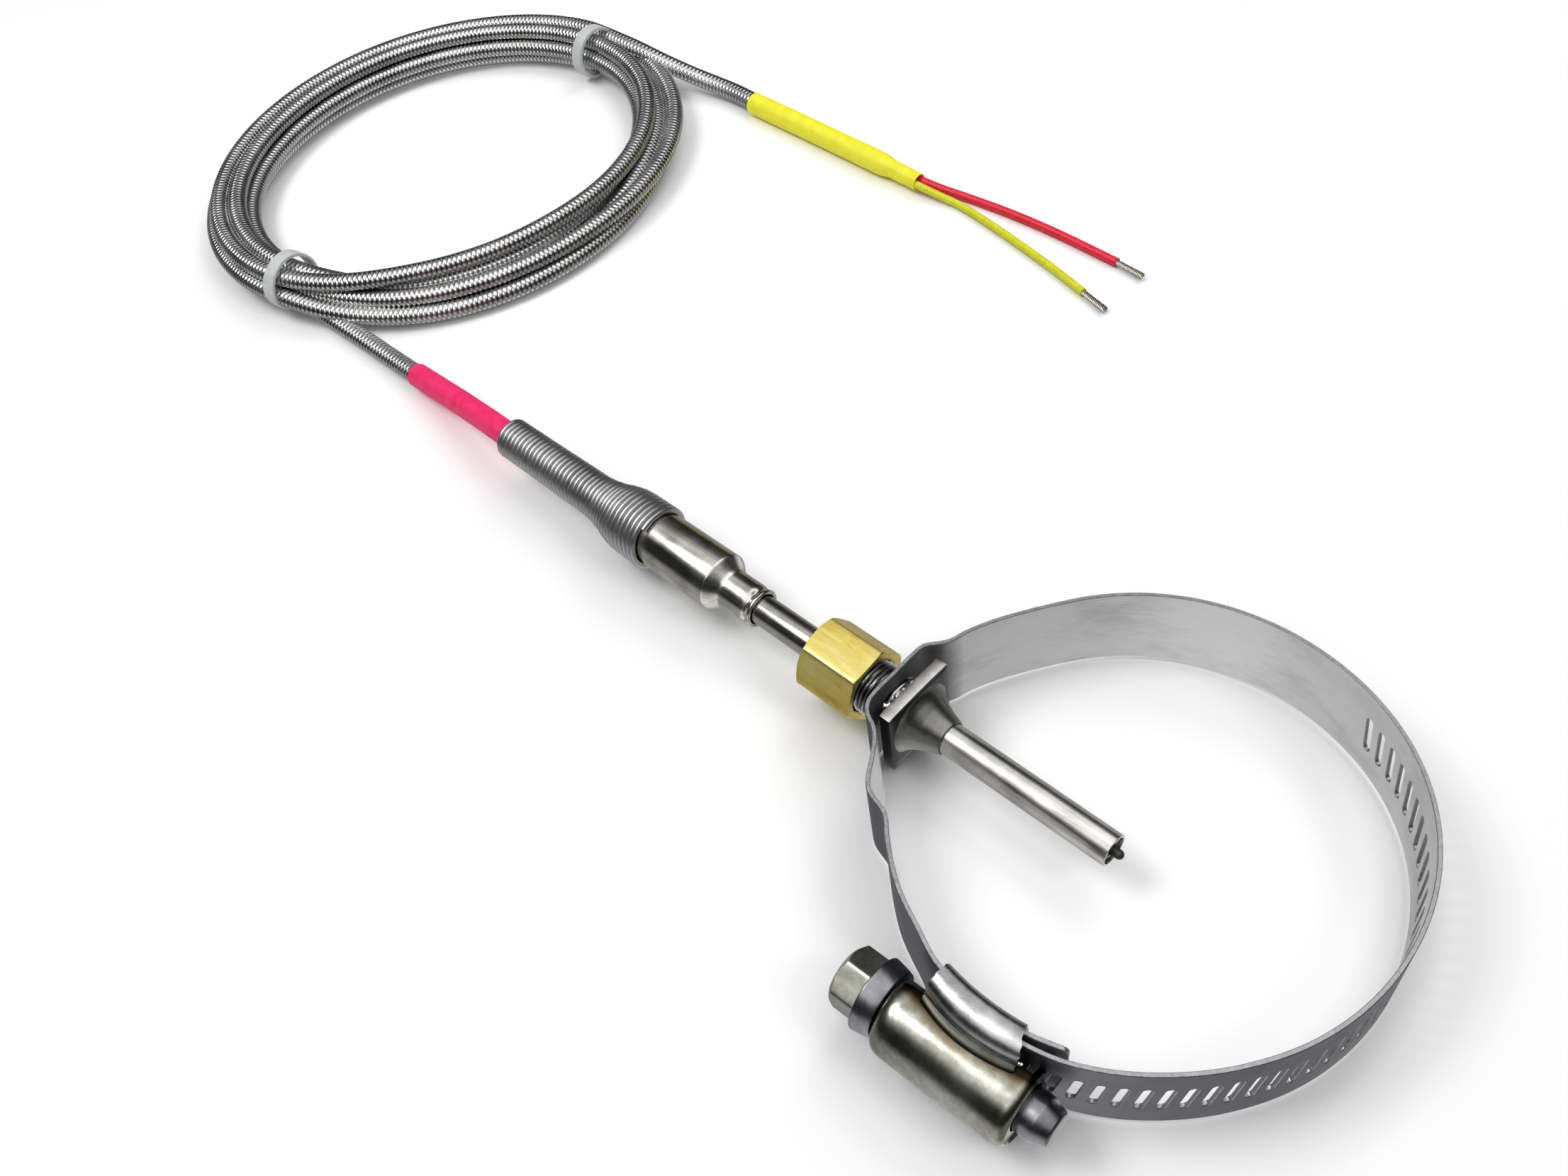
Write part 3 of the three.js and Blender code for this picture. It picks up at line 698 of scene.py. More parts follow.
def strip_solid(route, holes, corner, rim=0.1):
    """A strip bent along a plan route, with rounded rims and holes. holes are (distance along, z,
    length, width, lean). Returns points, faces and each face's material: 0 inside, 1 cut edge,
    2 outside."""
    path = smooth_path(route, 0.2)
    total = lengths(path)[-1]
    s = np.linspace(0, total, int(round(total)) + 1)
    z = np.linspace(0, BAND_WIDTH, 14)
    loops = [strip_outline(s, z, corner)] + [capsule(*hole)[::-1] for hole in holes]
    faces_at = [offset_loop(loop, -rim) for loop in loops]
    faces_at[0][loops[0][:, 0] < 0.01, 0] = 0
    flat, triangles = flat_mesh(faces_at, holes, s, z)
    n = len(flat)
    points = [np.c_[flat, np.full(n, d)] for d in (0.0, BAND_THICKNESS)]
    faces = [tuple(t) for t in triangles] + [tuple(i + n for i in t[::-1]) for t in triangles]
    kinds = [0] * len(triangles) + [2] * len(triangles)
    base, first = 2 * n, 0
    for loop in loops:
        m = len(loop)
        points += [np.c_[loop, np.full(m, d)] for d in (rim, BAND_THICKNESS - rim)]
        starts = (first, base, base + m, n + first)
        for lower, upper in zip(starts, starts[1:]):
            for i in range(m):
                k = (i + 1) % m
                faces.append((lower + i, upper + i, upper + k, lower + k))
        kinds += [1] * (3 * m)
        base += 2 * m
        first += m
    points = bend(np.vstack(points), path)
    return points, outward(points, faces), kinds


def within(points, loop):
    """Which of the points lie inside the closed loop."""
    x, y = points[:, 0][:, None], points[:, 1][:, None]
    x1, y1 = loop[:, 0][None, :], loop[:, 1][None, :]
    x2, y2 = np.roll(x1, -1, axis=1), np.roll(y1, -1, axis=1)
    crosses = (y1 > y) != (y2 > y)
    slope = np.where(np.abs(y2 - y1) < 1e-12, 1e-12, y2 - y1)
    return (np.sum(crosses & (x < (x2 - x1) * (y - y1) / slope + x1), axis=1) % 2) == 1


def bend(points, path):
    """(along, z, depth) points put round the plan path, depth measured outwards."""
    s = lengths(path)
    tangent = np.gradient(path, axis=0)
    tangent /= np.linalg.norm(tangent, axis=1, keepdims=True)
    normal = np.stack([-tangent[:, 1], tangent[:, 0]], axis=1)
    radial = path - [0, LOOP_Y]
    normal *= np.sign(np.sum(normal * radial, axis=1, keepdims=True))
    at = [np.interp(points[:, 0], s, path[:, k]) for k in range(2)]
    out = [np.interp(points[:, 0], s, normal[:, k]) for k in range(2)]
    size = np.hypot(*out)
    x, y = (at[k] + out[k] / size * points[:, 2] for k in range(2))
    return np.stack([x, y, points[:, 1]], axis=1)


def along_at(route, degrees):
    """Distance along a route at an angle round the loop."""
    path = smooth_path(route, 0.2)
    angle = np.degrees(np.unwrap(np.arctan2(path[:, 1] - LOOP_Y, path[:, 0])))
    order = np.argsort(angle)
    return float(np.interp(degrees, angle[order], lengths(path)[order]))


STRIP_FACES = "band edge band_outer"


def clamp_strips():
    route = fixed_route()
    path = smooth_path(route, 0.2)
    pocket = np.hypot(path[:, 0] + 49.9, path[:, 1])
    stub = lengths(path)[np.argmin(pocket)]
    points, faces, kinds = strip_solid(route, [(stub, AXIS_Z, *STUB_HOLE)], corner=1.2)
    make("clamp_strip_fixed", points, faces, STRIP_FACES, "clamp", 40,
         replaces=("band_fixed",), slot="band_steel", face_slots=kinds)
    route = slotted_route()
    last = lengths(smooth_path(route, 0.2))[-1] - 3
    starts = np.arange(along_at(route, SLOT_FIRST), last, SLOT_PITCH)
    holes = [(start, AXIS_Z, *SLOT) for start in starts]
    points, faces, kinds = strip_solid(route, holes, corner=4.0)
    strip = make("clamp_strip_slotted", points, faces, STRIP_FACES, None, 40,
                 slot="band_steel", face_slots=kinds)
    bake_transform(strip)
    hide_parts("band_slotted")


# ---- the fitting --------------------------------------------------------------------------------
def hexagon_body(x0, x1, flats, turn, cone0, cone1, reach0, reach1, bore=None, sides=240):
    """A hexagon prism along X with turned chamfers: cone is the flat face's radius at each end, reach
    how far along X the chamfer runs per mm of radius. Its corners are slightly rounded."""
    corner = flats / math.sqrt(3)
    soften = 0.04
    xs = np.concatenate([np.linspace(x0, x0 + (corner - cone0) * reach0 + 0.1, 12),
                         np.linspace(x1 - (corner - cone1) * reach1 - 0.1, x1, 12)])

    def shape(x, r, angle):
        local = math.pi / 6 - np.abs((angle - turn + math.pi / 6) % (math.pi / 3) - math.pi / 6)
        near = np.sqrt(local ** 2 + soften ** 2)
        hexagon = flats / 2 / np.cos(np.clip(math.pi / 6 - near + soften * 0.3, 0, math.pi / 6))
        cone = np.minimum(cone0 + (x - x0) / reach0, cone1 + (x1 - x) / reach1)
        return np.where(r > 0.9 * corner, np.minimum(hexagon, cone), r)

    outer = [[x, corner] for x in xs]
    return revolved(outer + (bore or []), sides, shape, closed=bore is not None)


def compression_nut():
    back, front = -69.5, -55.9
    bore = [[front - 0.02, 6.2], [front - 0.5, 5.75], [-64.6, 5.75], [-66.2, 5.1], [-67.6, 3.45],
            [back + 0.4, 3.45], [back, 3.85]]
    points, faces = hexagon_body(back, front, 14.29, math.radians(37.7), 7.0, 7.7, 0.6, 0.4, bore)
    make("brass_compression_nut", on_axis(points), faces, "brass", "nut", 18, replaces=("compression_nut",),
         slot="brass")


def threaded(start, end, major, minor, pitch, phase):
    """The radius of a V thread, as a function of x and angle."""
    def shape(x, r, angle):
        cycle = (x / pitch + angle / (2 * math.pi) + phase) % 1.0
        depth = (1 - np.abs(2 * cycle - 1)).clip(0.1, 0.92)
        fade = np.clip((x - start) / 0.8, 0, 1) * np.clip((end - x) / 1.0, 0, 1)
        wanted = major - (major - minor) * (1 - (depth - 0.1) / 0.82)
        on = (r > minor - 0.2) & (x >= start) & (x <= end)
        return np.where(on, r + (wanted - r) * fade, r)
    return shape


def bung():
    stub_end, plate_out, plate_in, neck_end = -61.5, -47.2, -44.7, -37.5
    crest = [[x, 5.55] for x in np.arange(stub_end + 0.7, plate_out - 1.6, 0.12)]
    stub = [[stub_end, 3.5], [stub_end, 4.9]] + crest
    stub += [[plate_out - 1.5, 4.9], [plate_out + 0.4, 4.9], [plate_out + 0.4, 3.5]]
    thread = threaded(stub_end + 0.7, plate_out - 1.7, 5.6, 5.0, 0.9, 0.2)
    turned("bung_threaded_stub", stub, 96, "thread", "clamp", 60, thread, slot="satin_stainless",
           replaces=("band_bung",))
    flare = fillet([[plate_in - 0.3, 7.7], [plate_in, 7.5], [-44.2, 6.75], [-43.2, 5.95], [-41.6, 5.05],
                    [-39.8, 4.3], [-38.3, 3.82], [neck_end, 3.62], [neck_end, 3.3]], 0.4, 3)
    turned("bung_flared_neck", np.vstack([flare, [[plate_in - 0.3, 3.3]]]), 128, "neck", "clamp", 50,
           slot="satin_stainless")
    bung_plate(plate_out, plate_in)
    weld_bits(plate_out - 0.5)


def bung_plate(outer, inner):
    """A square plate with rounded rims and a hole, saddled a little to suit a pipe. Its top edge has a
    light copy of its metal, painted highlight, and the rest a dark copy, painted shade."""
    half, rim, n = 8.2, 0.16, 24
    saddled = -0.002
    holes = (0.45, 0.6, 0.8)
    rounding = ((rim, 0.0), (0.3 * rim, rim * 0.4), (0.0, rim))
    side = [(outer + depth, 1 - cut / half, 1) for cut, depth in rounding]
    side += [(inner - depth, 1 - cut / half, 1) for cut, depth in rounding[::-1]]
    rows = [(outer, side[0][1], scale) for scale in holes] + side
    rows += [(inner, side[0][1], scale) for scale in holes[::-1]]
    grid = np.linspace(-1, 1, n + 1)[:-1]
    ring = [(g, -1) for g in grid] + [(1, g) for g in grid]
    ring += [(-a, -b) for a, b in ring]
    points = []
    for x, size, scale in rows:
        for a, b in ring:
            y, z = (v * scale for v in corner_round(a, b, half * size, 0.35))
            points.append([x - saddled * y * y, y, z])
    faces = ring_faces(len(rows), len(ring), closed=True)
    # the top edge's faces take the painted highlight, all others the painted shade
    top = [len(holes) <= i < len(rows) - len(holes) - 1 and 2 * n <= k < 3 * n
           for i in range(len(rows)) for k in range(len(ring))]
    points = np.array(points)
    make("bung_square_plate", on_axis(points), outward(points, faces), "plate dull", "clamp", 40,
         slot="satin_stainless", face_slots=~np.array(top))


def corner_round(a, b, half, radius):
    """A point of a square outline with its corners rounded."""
    y, z = a * half, b * half
    edge = half - radius
    dy, dz = abs(y) - edge, abs(z) - edge
    if dy > 0 and dz > 0:
        size = math.hypot(dy, dz)
        y = math.copysign(edge + dy / size * radius, y)
        z = math.copysign(edge + dz / size * radius, z)
    return y, z


def weld_ridge(start, end, count, size):
    """Ragged overlapping slivers of weld metal along a line."""
    start, end = np.array(start), np.array(end)
    way = (end - start) / np.linalg.norm(end - start)
    slivers = []
    for k in range(count):
        points, faces = revolved([[-1, 0.01], [-0.6, 0.75], [0.1, 1], [0.7, 0.6], [1, 0.01]], 7)
        points = points * (1 + 0.22 * random.standard_normal((len(points), 1)).clip(-1.2, 1.2))
        stretch = size * random.uniform(0.6, 1.1, 3) * [1.0, 0.6, 0.45]
        turned = Matrix.Rotation(random.uniform(-0.5, 0.5), 3, "X") @ Vector((1, 0, 0)).rotation_difference(
            Vector(way + random.uniform(-0.35, 0.35, 3))).to_matrix()
        place = start + (end - start) * k / (count - 1)
        slivers.append(((points * stretch) @ np.array(turned).T + place, faces))
    return join(*slivers)


def weld_bits(x):
    """Ragged tack welds in the gap between the plate and the strip."""
    ridges = (((x, -4.8, 7.2), (x, 2.0, 6.6), 8, 1.2), ((x, 4.4, 5.2), (x, 6.4, 3.4), 3, 1.0),
              ((x, -5.6, -5.2), (x, -2.0, -6.4), 4, 1.2))
    for n, ridge in enumerate(ridges, 1):
        points, faces = weld_ridge(*ridge)
        make(f"tack_weld_{n}", on_axis(points), faces, "weld", "clamp", 30, slot="satin_stainless")


def ferrule_ring():
    profile = fillet([[-65.9, 3.48], [-65.5, 4.55], [-64.3, 4.75], [-62.6, 4.6], [-61.9, 3.85],
                      [-61.9, 3.5]], 0.2, 3)
    turned("ferrule_ring", profile, 64, "brass", "ferrule_slide", replaces=("ferrule",), slot="brass")


# ---- the probe ----------------------------------------------------------------------------------
def probe():
    end, outer, bore = -108, 3.175, 2.68
    tube = fillet([[end, bore], [end, outer], [TUBE_TIP, outer], [TUBE_TIP, bore]], 0.12, 3)
    turned("sheath_tube", tube, 128, "tube", "probe", replaces=("probe_tube",), slot="bright_stainless")
    plug = [[-5, 1.3], [-5, 2.47], [-2.6, 2.47], [-2.5, 2.3], [-2.5, 1.3]]
    turned("tip_closing_ring", plug, 64, "neck", "probe", replaces=("tip_plug",), slot="satin_stainless")
    bead = fillet([[-4.2, 0.9], [-1.1, 0.9], [-0.6, 0.82], [-0.25, 0.55], [-0.1, 0.15]], 0.3, 4)
    turned("hot_junction", bead, 48, "bead", "probe", closed=False, replaces=("junction_bead",),
           slot="junction_metal")
    seat, barrel, neck = 5.95, 6.35, 4.2
    sleeve = [[-123.2, 5.35], [-123.2, seat], [-114.9, seat], [-114.8, barrel - 0.15], [-114.5, barrel],
              [-97.0, barrel], [-96.6, 6.1], [-95.4, 5.15], [-94.6, 4.55], [-94.1, 4.28], [-93.7, neck],
              [-88.2, neck], [-87.6, 4.1], [-87.2, 3.9], [-86.8, 3.9], [-86.4, 4.12], [-86.0, 4.25],
              [-85.7, 4.2], [-85.5, 4.0], [-85.5, 3.45], [-95.5, 3.45], [-98, 5.35]]

    def crimp(x, r, angle):
        """Four dents round the neck's groove."""
        near = np.exp(-((x + 87.0) / 0.8) ** 2)
        dent = near * 0.28 * np.clip(np.cos(4 * angle), 0, 1) ** 3
        return np.where(r > 3.8, r - dent, r)

    turned("stepped_sleeve", fillet(sleeve, 0.35, 3), 160, "sleeve", "probe", 40, crimp,
           replaces=("transition_sleeve",), slot="bright_stainless")
    relief_spring()
    hidden = {"ceramic": ("ceramic_insulator",), "potting": ("potting_plug",),
              "spring": ("thermo_wire_positive", "thermo_wire_negative", "splice_sleeve_positive",
                         "splice_sleeve_negative")}
    for key, nodes in hidden.items():
        for node in nodes:
            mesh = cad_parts[node].data
            mesh.materials.clear()
            mesh.materials.append(MAT[key])


def relief_spring():
    wire, pitch, per_turn = 0.635, 1.30, 40
    start, end = -166.3 + wire, -115.2 - wire
    turns = (end - start) / pitch
    a = np.linspace(0, turns * 2 * math.pi, int(turns * per_turn))
    x = start + a / (2 * math.pi) * pitch
    radius = np.interp(x, [-166.3, -150, -135.7, -133, -130, -127.2, -125, -123, -115],
                       [4.7, 4.82, 5.0, 5.3, 5.95, 6.85, 7.3, 7.45, 7.45]) - wire
    wobble = 0.035 * np.sin(a * 0.37) + 0.02 * np.sin(a * 0.11 + 1)
    path = np.stack([x + wobble, radius * np.cos(a), AXIS_Z + radius * np.sin(a)], axis=1)
    points, faces = swept(path, circle(wire, 12))
    make("close_wound_spring", points, faces, "spring", "probe", 60, replaces=("relief_spring",),
         slot="spring_steel")


# ---- the cable ----------------------------------------------------------------------------------
CABLE_Z = TABLE_Z + 2.3 + 0.2
LEAD_A = [
    [-124, 0, AXIS_Z], [-140, 0, AXIS_Z], [-155, 0, 9.5], [-166, 0.1, 9.2], [-178, 0.8, 7.9],
    [-190, 1.7, 5.8], [-202, 2.5, 3.6], [-214, 3.0, 2.0], [-226, 3.2, CABLE_Z], [-243, 3.2, CABLE_Z],
]
SLEEVE_Z = TABLE_Z + 3.2
LEAD_B = [
    [-268, 131.2, 8.8], [-260, 132.3, 7.0], [-252, 134.2, 4.9], [-243, 136.4, 2.9], [-233, 137.8, 2.0],
    [-223, 137.2, SLEEVE_Z], [-205, 136.2, SLEEVE_Z], [-188, 135.5, SLEEVE_Z],
]
WIRE_Z = TABLE_Z + 1.3
RED_ROUTE = [
    [-187, 136.6, SLEEVE_Z], [-168, 135.85, SLEEVE_Z], [-158.5, 135.6, SLEEVE_Z - 0.4], [-152, 136.6, 0.8],
    [-145, 138.1, WIRE_Z], [-130.6, 139.1, WIRE_Z], [-116, 139.1, WIRE_Z], [-97.7, 138.1, WIRE_Z],
]
YELLOW_ROUTE = [
    [-187, 134.3, SLEEVE_Z], [-168, 133.6, SLEEVE_Z], [-158.5, 133.35, SLEEVE_Z - 0.4], [-152, 133.9, 0.8],
    [-145, 134.4, WIRE_Z], [-134.3, 132.8, WIRE_Z], [-121.2, 130.1, WIRE_Z], [-108.7, 127.2, WIRE_Z],
    [-97.8, 124.2, WIRE_Z],
]
TIE_ANGLES = (-79.8, 93.2)
TIE_CENTRE_Z = TABLE_Z + 8.0


# Where the passes lie in the bundle, each a step to a neighbour: (out from the mean circle, up from the
# table). The slack side has them spread, and the oval is how far the circle is out of round.
BUNDLE = [(2.5, 2.3), (5.2, 6.1), (0.0, 6.2), (-2.6, 2.3), (-5.0, 6.0), (-2.4, 9.9), (2.6, 10.0)]
SLACK_SIDE = [(5.8, 2.4), (2.8, 6.3), (0.5, 2.4), (-4.6, 2.4), (-3.4, 6.1), (-4.0, 9.8)]
COIL_OVAL = (-0.07, -1.22, 1.25, -1.9, -0.13)


def bundle_places(angle):
    """Where each point of the coil would lie by itself, (out from the mean circle, up from the table),
    with a slow random drift."""
    knots = [(-80.0, *BUNDLE[0])]
    for i, (across, up) in enumerate(BUNDLE):
        start = -90 - 360 * i
        knots += [(start - 35, across, up), (start - 140, across, up), (start - 176.8, across, up + 0.8)]
        if i < len(SLACK_SIDE):
            next_across, next_up = BUNDLE[i + 1]
            knots += [(start - 235, across, up + 0.5), (start - 285, *SLACK_SIDE[i]),
                      (start - 315, *SLACK_SIDE[i]), (start - 349.8, next_across, next_up + 0.8)]
    at, *places = np.array(sorted(knots)).T
    want = np.stack([np.interp(angle, at, place) for place in places], axis=1)
    eased(want, 30)
    drift = np.cumsum(random.standard_normal(want.shape), axis=0)
    eased(drift, 60)
    drift -= drift.mean(axis=0)
    return want + drift / np.abs(drift).max() * 0.6


def coil_path():
    """The cable's centreline round the coil, clockwise from above. Each pass has a place in the bundle's
    cross-section, out from the mean circle and up from the table. The passes then push each other apart
    and are drawn together at the ties."""
    per_turn = 180
    count = int(COIL_TURNS * per_turn) + 1
    angle = -90 - np.arange(count) * 360 / per_turn
    want = bundle_places(angle)
    place = want.copy()
    tied = [np.abs((angle - tie + 180) % 360 - 180) for tie in TIE_ANGLES]
    tight = np.maximum(*[np.exp(-(t / 20.0) ** 2) for t in tied])[:, None]
    middle = np.array([0.0, TIE_CENTRE_Z - TABLE_Z - 0.4])
    allowed = 4.9 + (1 - tight) * 30
    spacing = 4.6
    flat = np.array([1.0, 1.12])
    for _ in range(260):
        place += (want - place) * 0.05
        away = place - middle
        far = np.linalg.norm(away, axis=1, keepdims=True)
        place -= away / np.maximum(far, 1e-6) * np.maximum(far - allowed, 0) * 0.5
        for shift in range(per_turn, count, per_turn):
            delta = (place[shift:] - place[:-shift]) * flat
            size = np.linalg.norm(delta, axis=1, keepdims=True)
            push = np.maximum(spacing - size, 0) / 2 * delta / np.maximum(size, 1e-3) / flat
            place[shift:] += push * 0.8
            place[:-shift] -= push * 0.8
        eased(place, 1)
        place[:, 1] = np.maximum(place[:, 1], 2.25)
        place[0], place[-1] = (2.4, 2.5), (2.2, 10.6)
    a = np.radians(angle)
    waves = (np.ones(count), np.cos(a), np.sin(a), np.cos(2 * a), np.sin(2 * a))
    r = COIL_RADIUS + sum(k * wave for k, wave in zip(COIL_OVAL, waves)) + place[:, 0]
    return np.stack([COIL[0] + r * np.cos(a), COIL[1] + r * np.sin(a), TABLE_Z + place[:, 1]], axis=1)


def braid_height(u, v):
    """Height of a plain braid, 0 to 1, with u in picks along the cable and v in carriers round it."""
    p, q = u + v, u - v
    a, b = p % 1.0 - 0.5, q % 1.0 - 0.5
    over = (np.floor(p) + np.floor(q)) % 2

    def dome(across, along):
        return np.sqrt(np.maximum(1 - 3.6 * across ** 2, 0)) * (1 - 2.2 * along ** 2)

    return np.where(over > 0.5, dome(a, b), dome(b, a))


def cable():
    coil = coil_path()
    rough = np.vstack([smooth_path(LEAD_A, 2)[:-4], coil[8:-4], smooth_path(LEAD_B, 2)[1:]])
    rough = resampled(rough, 2.0)
    eased(rough, 6)
    step = BRAID_PICK / 4
    path = resampled(smooth_path(rough, step), step)
    s = lengths(path)
    sides = 24
    u = np.repeat((s / BRAID_PICK)[:, None], sides, axis=1)
    v = np.repeat(0.25 + np.arange(sides)[None, :] * (BRAID_CARRIERS / sides), len(path), axis=0)
    relief = (braid_height(u + 1e-3, v + 1e-3) - 0.6) * 0.16
    twist = (0.2 * np.sin(s / 140.0) + 0.1 * np.sin(s / 61.0 + 1.0)) * np.clip(s / 60, 0, 1)
    a = np.arange(sides) * 2 * math.pi / sides
    wide = (CABLE_WIDTH / 2 + relief) * np.cos(a)
    high = (CABLE_HEIGHT / 2 + relief) * np.sin(a)
    points, faces = swept(path, np.stack([wide, high], axis=-1), twist)
    uv = np.stack([u, v], axis=-1).reshape(-1, 2)
    piece = make("braided_cable", points, faces, "braid", "probe", 180, uv=uv,
                 replaces=("cable_lead_a", "cable_coil", "cable_lead_b"), slot="braid")
    return piece, path


def shrink_tube(colour, route, radii):
    """A shrink tube along a route. radii are (place from 0 to 1, radius)."""
    name = f"{colour}_shrink"
    path = smooth_path(route, 0.5)
    s = lengths(path) / lengths(path)[-1]
    r = np.interp(s, *np.transpose(radii)) * (1 + 0.004 * np.sin(s * 37) + 0.003 * np.sin(s * 91 + 2))
    wall = np.interp(s, [0, 0.5, 1], [0.5, 0.4, 0.28])
    sides = 40
    outer, inner = (swept(path, circle(1.0, sides), scale=size, caps=False)[0] for size in (r, r - wall))
    points = np.vstack([outer, inner.reshape(-1, sides, 3)[::-1].reshape(-1, 3)])
    faces = outward(points, ring_faces(2 * len(path), sides, closed=True))
    return make(name, points, faces, name, "probe", 40, replaces=(f"heat_shrink_{colour}",), slot=name)


def cable_tie(name, degrees, node):
    """A flat strap drawn round the bundle."""
    a = math.radians(degrees)
    out_way = np.array([math.cos(a), math.sin(a), 0])
    along = np.array([-math.sin(a), math.cos(a), 0])
    up = np.array([0, 0, 1.0])
    centre = np.array([*COIL, TIE_CENTRE_Z - 0.15]) + out_way * COIL_RADIUS
    half, thick = 1.95, 0.5
    corners = [[-half, -thick], [half, -thick], [half, thick], [-half, thick], [-half, -thick]]
    section = fillet(corners, 0.35, 3)[:-1]
    count = 72
    points = []
    for t in np.arange(count) * 2 * math.pi / count:
        radius = 7.2 * (1 + 0.04 * math.cos(2 * t) + 0.02 * math.cos(3 * t + 1))
        out = out_way * math.cos(t) + up * math.sin(t)
        points += [centre + out * (radius + v) + along * u for u, v in section]
    points = np.array(points)
    faces = outward(points, ring_faces(count, len(section), closed=True))
    return make(name, points, faces, "tie", "probe", 40, replaces=(node,), slot="tie_plastic")


def conductor(colour, route, radius):
    path = smooth_path(route, 0.5)
    s = lengths(path)
    sides = 20
    points, faces = swept(path, circle(radius, sides))
    v = np.arange(sides)[None, :] * (6.0 / sides)
    uv = np.stack([np.repeat((s / 1.1)[:, None], sides, 1), np.repeat(v, len(path), 0)], -1).reshape(-1, 2)
    piece = make(f"{colour}_conductor", points, faces, f"{colour}_wire", "probe", 60, uv=uv,
                 replaces=(f"conductor_{colour}",), slot=f"{colour}_insulation")
    return piece, path


def strand_end(colour, start, end):
    """A twisted bundle of fine wires beyond the insulation."""
    start, end = np.array(start, dtype=float), np.array(end, dtype=float)
    way = end - start
    size = np.linalg.norm(way)
    way /= size
    side = np.cross([0, 0, 1], way)
    side /= np.linalg.norm(side)
    up = np.cross(way, side)
    solids = []
    count = 9
    for k in range(count):
        ring = 0.0 if k < 1 else 0.52
        s = np.linspace(-1.0, size - random.uniform(0, 0.6), 40)
        turn = 2 * math.pi * k / (count - 1) + s * 0.55
        spread = ring * (1 + 0.25 * (s / size).clip(0, 1) ** 2)
        off_axis = np.outer(spread * np.cos(turn), side) + np.outer(spread * np.sin(turn), up)
        path = start + np.outer(s, way) + off_axis
        solids.append(swept(path, circle(0.19, 10)))
    points, faces = join(*solids)
    return make(f"{colour}_strands", points, faces, "strand", "probe", 60, replaces=(f"strands_{colour}",),
                slot="bare_strands", uv=np.zeros((len(points), 2)))


def cables():
    main, path = cable()
    red = shrink_tube("red", [[-128, 0, AXIS_Z], [-140, 0, AXIS_Z], *LEAD_A[2:7], [-210, 2.86, 2.5]],
                      [(0, 3.0), (1, 3.0)])
    yellow = shrink_tube(
        "yellow",
        [[-223, 136.9, SLEEVE_Z - 0.15], [-205, 136.2, SLEEVE_Z], [-185, 135.45, SLEEVE_Z],
         [-167, 134.7, SLEEVE_Z], [-158.5, 134.5, SLEEVE_Z - 0.4]],
        [(0, 3.05), (0.1, 3.1), (0.3, 3.05), (0.80, 3.05), (0.825, 2.8), (0.85, 2.42), (1, 2.35)])
    ties = [cable_tie(f"{side}_tie", degrees, f"cable_tie_{side}")
            for side, degrees in zip(("near", "far"), TIE_ANGLES)]
    for colour, route, radius, tip in (("red", RED_ROUTE, 1.1, [-89.4, 137.2, WIRE_Z]),
                                       ("yellow", YELLOW_ROUTE, 1.0, [-89.6, 121.9, WIRE_Z])):
        wire, line = conductor(colour, route, radius)
        strands = strand_end(colour, route[-1], tip)
        2 * radius * MM


# ---- the clamp's head ---------------------------------------------------------------------------
HEAD_FOOT = loop_point(HEAD_ANGLE, HEAD_RING)


def in_head(points):
    """Head coordinates (x along the screw, y towards the loop's centre, z up) to design ones."""
    p = np.asarray(points, dtype=float)
    a = math.radians(HEAD_ANGLE + 90)
    x = HEAD_FOOT[0] + p[:, 0] * math.cos(a) - p[:, 1] * math.sin(a)
    y = HEAD_FOOT[1] + p[:, 0] * math.sin(a) + p[:, 1] * math.cos(a)
    return np.stack([x, y, p[:, 2] + AXIS_Z], axis=1)


def sheet_solid(surface, thickness):
    """A solid sheet from a grid of middle points (rows, columns, 3), closed all round."""
    rows, columns, _ = surface.shape
    normal = np.cross(np.gradient(surface, axis=0), np.gradient(surface, axis=1))
    normal /= np.maximum(np.linalg.norm(normal, axis=2, keepdims=True), 1e-9)
    front, back = surface + normal * thickness / 2, surface - normal * thickness / 2
    points = np.vstack([front.reshape(-1, 3), back.reshape(-1, 3)])
    n = rows * columns
    faces = []
    for i in range(rows - 1):
        for j in range(columns - 1):
            a = i * columns + j
            b, c, d = a + 1, a + columns, a + columns + 1
            faces += [(a, c, d, b), (n + a, n + b, n + d, n + c)]
    border = [(i, 0) for i in range(rows)] + [(rows - 1, j) for j in range(1, columns)]
    border += [(i, columns - 1) for i in range(rows - 2, -1, -1)]
    border += [(0, j) for j in range(columns - 2, 0, -1)]
    for (i, j), (k, l) in zip(border, border[1:] + border[:1]):
        a, b = i * columns + j, k * columns + l
        faces.append((a, n + a, n + b, b))
    return points, outward(points, faces)


